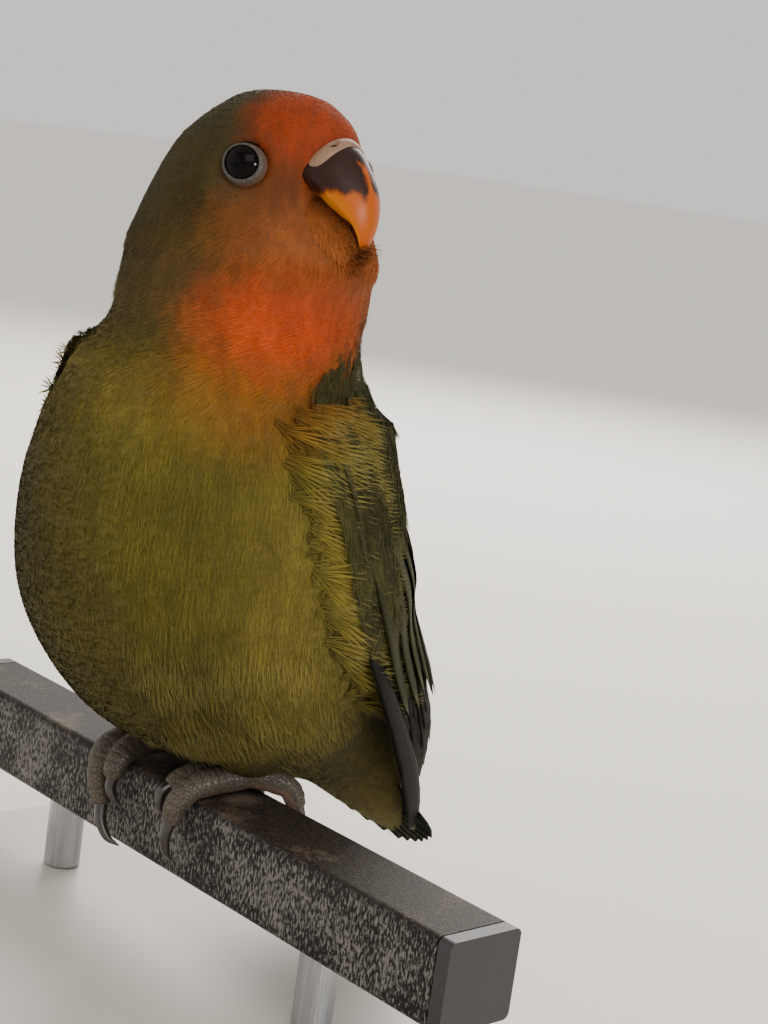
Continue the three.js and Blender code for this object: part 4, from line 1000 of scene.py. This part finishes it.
def join_vanes(name, vanes, finish, core=None):
    """One piece from many vanes, each with its own cell of the unwrap, and a core under them if given."""
    cells = math.ceil(math.sqrt(len(vanes) + (4 if core is not None else 0)))
    parts = []
    for i, (rows, barbs, top, tone) in enumerate(vanes):
        cell = (i % cells + 0.04, i // cells + 0.04, 0.92, 0.92)
        parts.append((2 * VANE_ACROSS - 2, cell, rows, barbs, top, tone, np.random.default_rng(i).random()))
    if core is not None:
        cell, rows = (cells - 1.9, cells - 0.95, 1.8, 0.9), core.reshape(-1, 3)
        parts.append((core.shape[1], cell, rows, np.full((len(rows), 2), 0.3), np.ones(len(rows)), 1.0, 0.3))
    faces, corner_uv, start = [], [], 0
    for sides, (left, low, wide, high), rows, *_ in parts:
        steps = len(rows) // sides
        faces += ring_faces(steps, sides, offset=start)
        for s in range(steps - 1):
            for k in range(sides):
                for dk, ds in ((0, 0), (1, 0), (1, 1), (0, 1)):
                    across, along = wide * (k + dk) / sides, high * (s + ds) / (steps - 1)
                    corner_uv.append(((left + across) / cells, (low + along) / cells))
        start += len(rows)
    _, _, points, barbs, top, tones, shades = zip(*parts)
    counts = [len(rows) for rows in points]
    tones, shades = np.repeat(tones, counts), np.repeat(shades, counts)
    marked = {"top": np.concatenate(top), "tone": tones, "shade": shades}
    unwrap = {"OFBake": np.array(corner_uv), "barbs": np.vstack(barbs)}
    return make_piece(name, np.vstack(points), faces, finish, unwrap, marked)


def vane_finish(name, dark, body, pale, under, edge_width):
    """Feather vanes: fine slanting barbs, a pale shaft, pale outer edges, and an underside in its own duller
    tone, darkened further with painted shade.
    """
    finish, tree, shader, place = new_finish(name)
    barbs = add_node(tree, "ShaderNodeUVMap", uv_map="barbs").outputs[0]
    split = add_node(tree, "ShaderNodeSeparateXYZ", {0: barbs}).outputs
    sideways = reckon(tree, "ABSOLUTE", reckon(tree, "MULTIPLY_ADD", split[0], 2.0, -1.0))
    tone, shade, top = (stored(tree, key) for key in ("tone", "shade", "top"))
    cloud = noise(tree, place, 500.0)
    colour = blend(tree, soft_step(tree, tone, 0.0, 0.55), dark, body)
    colour = blend(tree, reckon(tree, "MULTIPLY", cloud, 0.5), colour, dark)
    outer = soft_step(tree, split[0], 1.0 - edge_width, 1.0)
    outer = reckon(tree, "MULTIPLY", outer, soft_step(tree, tone, 0.0, 0.4, 0.3, 0.75))
    colour = blend(tree, outer, colour, pale)
    tip = soft_step(tree, reckon(tree, "MULTIPLY_ADD", sideways, 0.03, split[1]), 0.94, 1.0, 0.0, 0.35)
    colour = blend(tree, tip, colour, pale)
    colour = blend(tree, soft_step(tree, sideways, 0.03, 0.07, 0.7, 0.0), colour, "#100f0c")
    # The underside: the feather's own duller tone, darkened further with painted shade.
    colour = blend(tree, soft_step(tree, top, -0.2, 0.2, 1.0, 0.0), colour, under)
    colour = vector(tree, "SCALE", colour, scale=soft_step(tree, shade, 0.0, 1.0, 0.85, 1.15))
    slant = reckon(tree, "MULTIPLY_ADD", sideways, -0.12, split[1])
    barb = reckon(tree, "SINE", reckon(tree, "MULTIPLY", slant, 420.0))
    shaft = soft_step(tree, sideways, 0.02, 0.08, 3.0, 0.0)
    height = reckon(tree, "ADD", reckon(tree, "MULTIPLY", barb, 0.5), shaft)
    height = reckon(tree, "MULTIPLY_ADD", cloud, 1.5, height)
    set_surface(tree, shader, colour, height, 0.00005, 0.4, 0.6, Specular_IOR_Level=0.05)
    return finish


VANE_TILT, CORE_RINGS, CORE_SIDES, CORE_THICK = 13, 40, 48, 1.6
MAT_RINGS, MAT_ACROSS, MAT_AHEAD, FRINGE_RINGS, FRINGE_ACROSS = 60, 50, 14, 60, 24
# The line on the flank that the fringe grows from: its stations, and its angles.
FRINGE_FRONT = (9.2, 8.4, 7.2, 6.0, 4.7, 3.3, 1.8), (36.0, 31.0, 25.0, 19.0, 12.0, 3.0, -6.0)
wing_finish = vane_finish("wing_feather_vanes", "#14130f", "#45442a", "#7f7d5c", "#141411", 0.09)
for side, hand in (("left", 1), ("right", -1)):
    panel = wing_panel(hand)
    vanes = []
    for tier, (count, root, tip, lift, half, tone, outline) in enumerate(WING_TIERS):
        for i in range(count):
            k = i / (count - 1)
            draw = np.random.default_rng(100 * tier + i)
            s = np.linspace(0, 1, VANE_STEPS)
            start = (root[0] + (root[1] - root[0]) * k, root[2] + (root[3] - root[2]) * k)
            stray = draw.uniform(-0.008, 0.008)
            end = (tip[0] + (tip[1] - tip[0]) * k + stray, tip[2] + (tip[3] - tip[2]) * k)
            height = lift * (0.45 + 0.55 * np.sin(math.pi * s * 0.75)) + 0.25 * np.sin(math.pi * s)
            line = panel(start[0] + (end[0] - start[0]) * s, start[1] + (end[1] - start[1]) * s, height)
            tilt = -hand * math.radians(VANE_TILT + draw.uniform(-2, 2))
            vanes.append(lay_vane(*line, half, outline, tilt, 0.15 * hand, 100 * tier + i) + (tone,))
    share = np.linspace(0, 1, CORE_RINGS)[:, None]
    turn = np.arange(CORE_SIDES)[None, :] / CORE_SIDES * 2 * math.pi
    full = np.sqrt(np.sin(math.pi * (0.06 + 0.88 * share)))
    up = 0.5 + 0.48 * np.cos(turn) * np.minimum(1, full + 0.1)
    core, _ = panel(0.07 + 0.46 * share + 0 * turn, up, CORE_THICK * np.sin(turn) * full)
    dress(join_vanes(f"feathered_wing_{side}", vanes, wing_finish, core), "wing", f"wing_{side}")

    # Small soft feathers cover the bend of the wing, from the shoulder on, and thin out over the coverts.
    along, up = np.linspace(0.0, 0.62, MAT_RINGS), np.linspace(-0.05, 0.99, MAT_ACROSS)
    along, up = np.meshgrid(along, up, indexing="ij")
    arch = np.clip(np.minimum((up + 0.05) / 0.11, (0.99 - up) / 0.12), 0, 1) ** 0.6
    raised = arch * (2.3 + 1.4 * np.clip((along - 0.12) / 0.25, 0, 1)) * np.clip(along * 7 + 0.1, 0, 1)
    mat, _ = panel(along, up, raised)
    laid_flat, _ = panel(along, up)
    shoulder = [low + (high - low) * up[:1] for low, high in zip(WING_LOWER[0][0], WING_UPPER[0][0])]
    onto = np.linspace(0, 1, MAT_AHEAD, endpoint=False)[:, None]
    shoulder_angle = shoulder[1] if hand > 0 else 180 - shoulder[1]
    ahead = body_point(shoulder[0] + 1.0 * (1 - onto), shoulder_angle + 0 * onto, -1.0)
    ahead = ahead + (mat[:1] - ahead) * (onto**1.5)[..., None]
    along, up = (np.vstack([first + 0 * onto, rest]) for first, rest in ((0 * up[:1], along), (up[:1], up)))
    backward = unit(np.gradient(np.vstack([ahead, laid_flat]), axis=0))
    backward[:18] = unit(backward[:18] * 0.6 + backward[18:19])
    edge_share = np.clip(1 - np.minimum(up, 1 - up) / 0.16, 0, 1)
    shown = np.clip(2.6 - along / 0.17, 0, 1) + 0.8 * edge_share * np.clip(1 - (along - 0.45) / 0.15, 0, 1)
    shown[:MAT_AHEAD] = onto
    # The right wing's mat takes the lighter shoulder barbs: painted light where that wing lies in shade.
    mat_growing = (soft_tuft, wing_barbs if hand > 0 else shoulder_barbs_painted_light, "wing", 2.3e6, 0.08, 0.08)
    reach, mat = 3.0 + 7.0 * along, np.vstack([ahead, mat])
    grow_on_mat(f"coat_wing_{side}", mat, False, hand < 0, backward, reach, shown, *mat_growing)

    # Along the lower edge the long loose feathers of the flank lap over the wing from in front.
    along, onto = np.linspace(0.02, 0.8, FRINGE_RINGS)[:, None], np.linspace(0, 1, FRINGE_ACROSS)[None, :]
    front_station, front_angle = (spline(np.array(row)[:, None], along[:, 0]) for row in FRINGE_FRONT)
    front = body_point(front_station, front_angle if hand > 0 else 180 - front_angle, -0.9)
    on_wing, wing_normal = panel(along, np.full_like(along, 0.15), 2.6 - 1.6 * along)
    swell = 1.3 * np.sin(math.pi * onto**0.8)
    bridge = front + (on_wing - front) * onto[..., None] + wing_normal * swell[..., None]
    outward, backward = (unit(np.gradient(bridge, axis=axis)) for axis in (1, 0))
    lie = unit(outward * 0.95 + backward * (0.45 + 0.5 * along)[..., None])
    shown = np.clip((along - 0.04) / 0.08, 0, 1) * np.clip((0.8 - along) / 0.2, 0, 1)
    shown = shown * np.clip(onto * 3 - 0.2, 0, 1)
    reach = (6.0 + 3.0 * np.sin(math.pi * along / 0.8)) * (1.1 - 0.4 * onto)
    fringe_growing = (soft_tuft, fringe_barbs_painted_shade, "body_plumage", 3.0e6, 0.12, 0.3)
    grow_on_mat(f"coat_fringe_{side}", bridge, False, hand < 0, lie, reach, shown, *fringe_growing)


# Tail: twelve feathers in a shallow fan under the wing tips, the middle pair longest and on top, dusky below: a
# duller underside darkened with painted shade.
TAIL_PAIRS, TAIL_ROOT, TAIL_LENGTH, TAIL_HALF = 6, (0.2, 26.6, 10.2), 33.6, 4.3
TAIL_PITCH, TAIL_SPREAD = math.radians(-53), 31
tail_finish = vane_finish("tail_feather_vanes", "#1d241c", "#364022", "#565a34", "#101312", 0.12)
beside = np.array([math.cos(RUMP_HEADING), math.sin(RUMP_HEADING), 0])
behind = np.array([-math.sin(RUMP_HEADING), math.cos(RUMP_HEADING), 0])
vanes = []
for pair in range(TAIL_PAIRS):
    for hand in (-1, 1):
        fan = hand * math.radians((pair + 0.5) / TAIL_PAIRS * TAIL_SPREAD)
        aim = behind * math.cos(TAIL_PITCH) * math.cos(fan) + beside * math.sin(fan)
        aim = aim + np.array([0, 0, math.sin(TAIL_PITCH) * math.cos(fan)])
        normal = unit(np.cross(beside, aim))
        root = np.array(TAIL_ROOT) + beside * hand * (0.5 + 0.5 * pair)
        root = root - normal * 0.35 * (pair + (0.45 if hand > 0 else 0))
        s = np.linspace(0, 1, VANE_STEPS)[:, None]
        middles = root + aim * (TAIL_LENGTH * (1 - 0.035 * pair)) * s - normal * 1.2 * s * (1 - s)
        normals = unit(normal + beside * hand * 0.12 * s)
        laid = lay_vane(middles, normals, TAIL_HALF, "tail", -hand * math.radians(3), 0.12 * hand, pair)
        vanes.append(laid + (0.4 + 0.1 * (pair == 0),))
dress(join_vanes("tail_feathers", vanes, tail_finish), "tail", "tail")


# Feet: two toes forward and two back on each, gripping the bar. Scutes cross the top of every toe, grains pave
# its sides, and the pads below are soft and pinker. The toes are grown together with their shank into one
# surface, and each claw is a hooked horn of its own.
FEET = {
    "left": {
        "tarsus": [(8.5, 3, 3.4), (9, 6.8, 8), (9, 9.2, 14), (9, 10, 20)],
        "outer_front": [(8.6, 4, 3.2), (8.5, -2.6, 2.7), (8.1, -7.2, 1.9), (7.4, -9.6, -1), (7, -9.5, -3.6)],
        "inner_front": [(7.2, 2.4, 3.1), (5.2, -2, 2.6), (4.3, -5.6, 2.3), (4, -8.3, 1)],
        "outer_back": [(8.8, 2.6, 3.6), (11.5, 5.4, 3), (13.6, 8.2, 1.8), (14.4, 9.6, -1.2)],
        "inner_back": [(8, 3, 3.4), (5.8, 5.6, 2.6), (4.8, 8, 1.8), (4.4, 9.3, 0)],
    },
    "right": {
        "tarsus": [(-12, 2.4, 3.4), (-12, 6.2, 8), (-12, 8.8, 14), (-12, 10, 20)],
        "outer_front": [
            (-12.4, 3, 3.2), (-14, -3, 2.6), (-14.4, -7.8, 1.8), (-13.8, -9.7, -2.4), (-12, -9.6, -7.2),
        ],
        "inner_front": [
            (-11.6, 2.4, 3.1), (-11, -2.6, 2.6), (-10.6, -7, 2), (-10, -9.3, -0.6), (-9.8, -9.4, -2),
        ],
        "outer_back": [(-12.4, 2.4, 3.6), (-15, 5, 3), (-16.8, 8, 1.8), (-17.4, 9.6, -1.2)],
        "inner_back": [(-11.6, 2.8, 3.4), (-9.4, 5.6, 2.6), (-8.4, 8, 1.8), (-8, 9.3, 0)],
    },
}
TOE_RADII, TARSUS_RADII, CLAW_RADII = (2.3, 2.15, 2, 1.8, 1.5), (2.6, 2.1, 2, 2.2), (1.1, 0.95, 0.65, 0.12)
LIMB_SIDES, TOE_STEPS, CLAW_STEPS, TOE_SWELL = 20, 40, 30, 0.07
FOOT_GRAIN, SCUTE_LENGTH, SCUTE_RISE = 0.00030, 1.25, 0.13
BAR_HALF, BAR_DEPTH, BAR_GAP = 7.02, 14, 0.02
CLAWS = {
    "left": {
        "outer_front": [(7, -9.5, -2.8), (6.6, -10.3, -6), (6.5, -9.7, -9), (6.6, -8.4, -10.8)],
        "inner_front": [(4, -7.8, 1.4), (3.8, -9.9, 0), (3.9, -9.9, -2.4), (4.1, -8.6, -4.2)],
        "outer_back": [(14.3, 9.4, -0.4), (14.7, 10.3, -3), (14.8, 9.9, -5.6), (14.7, 8.5, -7)],
        "inner_back": [(4.5, 9, 0.6), (4.2, 10.2, -1.6), (4.2, 9.9, -4), (4.3, 8.6, -5.6)],
    },
    "right": {
        "outer_front": [(-12.2, -9.6, -6.4), (-10.9, -10.3, -9.8), (-8.9, -10, -12.2), (-6.9, -9, -13)],
        "inner_front": [(-9.8, -9.4, -1.4), (-9.4, -10.2, -3.6), (-8.6, -9.8, -5.4), (-7.8, -8.7, -6.6)],
        "outer_back": [(-17.3, 9.4, -0.4), (-17.7, 10.3, -3), (-17.8, 9.9, -5.6), (-17.7, 8.5, -7)],
        "inner_back": [(-8.1, 9, 0.6), (-7.8, 10.2, -1.6), (-7.8, 9.9, -4), (-7.9, 8.6, -5.6)],
    },
}


def limb(points, radii, sides, steps, bulges=0.0):
    """Rings along a curve through the points, swollen a little between the joints, with both ends closed."""
    share = np.linspace(0, 1, steps)
    middles = spline(points, share)
    size = np.interp(share, np.linspace(0, 1, len(radii)), radii)
    size = size * (1 + bulges * np.sin(share * (len(points) - 1) * math.pi) ** 2)
    tangent = unit(np.gradient(middles, axis=0))
    normal = unit(np.cross(tangent, [0.0, 0.0, 1.0]) + np.array([1e-6, 0, 0]))
    for k in range(1, steps):
        kept = normal[k - 1] - tangent[k] * np.dot(normal[k - 1], tangent[k])
        normal[k] = kept / np.linalg.norm(kept)
    other = np.cross(tangent, normal)
    turns = np.arange(sides) / sides * 2 * math.pi
    rows = (
        middles[:, None]
        + normal[:, None] * (size[:, None] * np.cos(turns))[..., None]
        + other[:, None] * (size[:, None] * np.sin(turns))[..., None]
    )
    ends = np.array([middles[0] - tangent[0] * size[0] * 0.7, middles[-1] + tangent[-1] * size[-1] * 0.8])
    faces = ring_faces(steps, sides)
    last = (steps - 1) * sides
    for s in range(sides):
        faces.append((steps * sides, (s + 1) % sides, s))
        faces.append((steps * sides + 1, last + s, last + (s + 1) % sides))
    return np.vstack([rows.reshape(-1, 3), ends]), faces


foot_finish, tree, shader, place = new_finish("scaled_foot_skin")
scute = stored(tree, "scute")
upper = stored(tree, "upper")
paving = {"Vector": place, "Scale": 1500.0}
paving = add_node(tree, "ShaderNodeTexVoronoi", paving, feature="DISTANCE_TO_EDGE").outputs[0]
raised = reckon(tree, "MINIMUM", soft_step(tree, paving, 0.0, 0.12), soft_step(tree, scute, 0.1, 0.6))
foot_tone = blend(tree, noise(tree, place, 600.0), "#40382f", "#5e5345")
foot_tone = blend(tree, soft_step(tree, upper, -0.9, -0.3, 0.85, 0.0), foot_tone, "#8a6c5c")
foot_tone = blend(tree, soft_step(tree, raised, 0.0, 0.7, 0.8, 0.0), foot_tone, "#1d1915")
set_surface(tree, shader, foot_tone, raised, 0.00012, 0.7, 0.5, Specular_IOR_Level=0.4)

claw_finish, tree, shader, place = new_finish("black_claw_horn")
streaks = noise(tree, place, 1200.0, 3.0, 0.5, (1.0, 1.0, 0.3))
claw_tone = blend(tree, streaks, "#141110", "#3a322c")
set_surface(tree, shader, claw_tone, streaks, 0.00004, 0.4, 0.28, Coat_Weight=0.3, Coat_Roughness=0.2)

for side, paths in FEET.items():
    points, faces, lines, steps = [], [], [], []
    for name, path in paths.items():
        shank = name == "tarsus"
        radii = TARSUS_RADII if shank else TOE_RADII[-len(path):]
        rows, quads = limb(path, radii, LIMB_SIDES, TOE_STEPS, 0.0 if shank else TOE_SWELL)
        start = sum(len(p) for p in points)
        faces += [tuple(v + start for v in face) for face in quads]
        points.append(rows)
        lines.append(spline(path, np.linspace(0, 1, 120)))
        steps.append(np.append(0, np.cumsum(np.linalg.norm(np.diff(lines[-1], axis=0), axis=-1))))
    grown = make_piece(f"foot_{side}_grown", np.vstack(points), faces, foot_finish)
    fuse = grown.modifiers.new("fuse", "REMESH")
    fuse.mode = "VOXEL"
    fuse.voxel_size = FOOT_GRAIN
    ease = grown.modifiers.new("ease", "SMOOTH")
    ease.factor = 0.5
    ease.iterations = 6
    mesh = finished_mesh(grown)
    where, lean = (np.empty(len(mesh.vertices) * 3) for _ in range(2))
    mesh.vertices.foreach_get("co", where)
    mesh.vertices.foreach_get("normal", lean)
    where = where.reshape(-1, 3) * 1000 - np.array([0, 0, BAR_TOP])
    line, steps = np.vstack(lines), np.concatenate(steps)
    nearest = [np.argmin(np.sum((some[:, None] - line) ** 2, -1), 1) for some in np.array_split(where, 60)]
    line, steps = line[np.concatenate(nearest)], steps[np.concatenate(nearest)]
    over_bar = unit(line - np.array([0, 0, -7.0]) * np.array([0, 1, 1]) - line * np.array([1, 0, 0]))
    upper = np.sum(unit(where - line) * over_bar, -1)
    scute = np.where(upper > -0.15, np.abs(np.sin(math.pi * steps / SCUTE_LENGTH)) ** 0.6, 1.0)
    where = where + lean.reshape(-1, 3) * (SCUTE_RISE * scute * np.clip(upper + 0.5, 0, 1))[:, None]
    # Where a toe would sink into the bar, it lies flat on the nearer face.
    to_top, to_side = BAR_GAP - where[:, 2], BAR_HALF - np.abs(where[:, 1])
    sunk = (np.abs(where[:, 1]) < BAR_HALF) & (where[:, 2] < BAR_GAP) & (where[:, 2] > -BAR_DEPTH)
    where[:, 2] = np.where(sunk & (to_top <= to_side), BAR_GAP, where[:, 2])
    where[:, 1] = np.where(sunk & (to_top > to_side), np.sign(where[:, 1]) * BAR_HALF, where[:, 1])
    mesh.vertices.foreach_set("co", ((where + np.array([0, 0, BAR_TOP])) / 1000).ravel())
    keep_values(mesh, "scute", scute)
    keep_values(mesh, "upper", upper)
    mesh.update()
    mesh.shade_smooth()
    dress(show_mesh(f"scaled_foot_{side}", mesh), "foot", f"foot_{side}")
    for toe, path in CLAWS[side].items():
        hook = limb(path, CLAW_RADII, LIMB_SIDES, CLAW_STEPS)
        dress(make_piece(f"claw_horn_{side}_{toe}", *hook, claw_finish), "claw", f"claw_{side}_{toe}")


# Perch: a cut length of square steel tube in dark mottled paint, streaked pale down its front, worn and
# chipped on its top, with a moulded plug in each cut end.
bar_paint, tree, shader, place = new_finish("mottled_bar_paint")
split = add_node(tree, "ShaderNodeSeparateXYZ", {0: place}).outputs
normal = add_node(tree, "ShaderNodeNewGeometry").outputs["Normal"]
facing_up = soft_step(tree, add_node(tree, "ShaderNodeSeparateXYZ", {0: normal}).outputs[2], 0.5, 0.9)
streak = noise(tree, place, 2300.0, 4.0, 0.62, (1.0, 1.0, 0.4))
speck = noise(tree, place, 2600.0, 4.0, 0.7)
patchy = noise(tree, place, 120.0, 3.0)
mottle = reckon(tree, "MULTIPLY_ADD", patchy, 0.35, reckon(tree, "ADD", streak, -0.17))
front = blend(tree, soft_step(tree, mottle, 0.46, 0.62), "#141312", "#726e69")
front = blend(tree, soft_step(tree, speck, 0.5, 0.7, 0.0, 0.5), front, "#2a2726")
above = blend(tree, soft_step(tree, speck, 0.42, 0.62), "#1f1a17", "#4d4138")
worn = soft_step(tree, reckon(tree, "MULTIPLY_ADD", speck, 0.3, noise(tree, place, 60.0, 4.0)), 0.68, 0.8)
above = blend(tree, reckon(tree, "MULTIPLY", worn, 0.7), above, "#8d7a66")
bar_tone = blend(tree, facing_up, front, above)
from_edge = reckon(tree, "ABSOLUTE", reckon(tree, "ADD", split[2], -0.0355))
bar_tone = blend(tree, soft_step(tree, from_edge, 0.0, 0.0012, 0.6, 0.0), bar_tone, "#171515")
set_surface(tree, shader, bar_tone, streak, 0.0002, 0.7, 0.6, Specular_IOR_Level=0.2)

cap_finish, tree, shader, place = new_finish("moulded_plug")
cap_grain = noise(tree, place, 2500.0)
cap_tone = blend(tree, cap_grain, "#1b1b1c", "#2c2c2e")
set_surface(tree, shader, cap_tone, cap_grain, 0.00005, 0.5, 0.5)

# Display stand: a rounded plate in pale satin paint and two short rods of brushed steel that carry the bar.
stand_paint, tree, shader, place = new_finish("stand_satin_paint")
orange_peel = noise(tree, place, 900.0, 2.0)
stand_tone = blend(tree, noise(tree, place, 40.0, 4.0), "#c9c5be", "#d6d2cb")
set_surface(tree, shader, stand_tone, orange_peel, 0.00005, 0.3, 0.42)
rod_steel, tree, shader, place = new_finish("brushed_rod_steel")
brushed = noise(tree, place, 2600.0, 3.0, 0.6, (1.0, 1.0, 0.04))
rod_tone = blend(tree, brushed, "#8e9093", "#c4c6c8")
rough = soft_step(tree, brushed, 0.2, 0.8, 0.25, 0.42)
set_surface(tree, shader, rod_tone, brushed, 0.00003, 0.3, rough, Metallic=1.0)
for node_name, finish in {
    "perch": bar_paint,
    "perch_cap_left": cap_finish,
    "perch_cap_right": cap_finish,
    "stand_base": stand_paint,
    "stand_rod_left": rod_steel,
    "stand_rod_right": rod_steel,
}.items():
    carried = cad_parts[node_name]
    carried.data.materials.clear()
    carried.data.materials.append(finish)
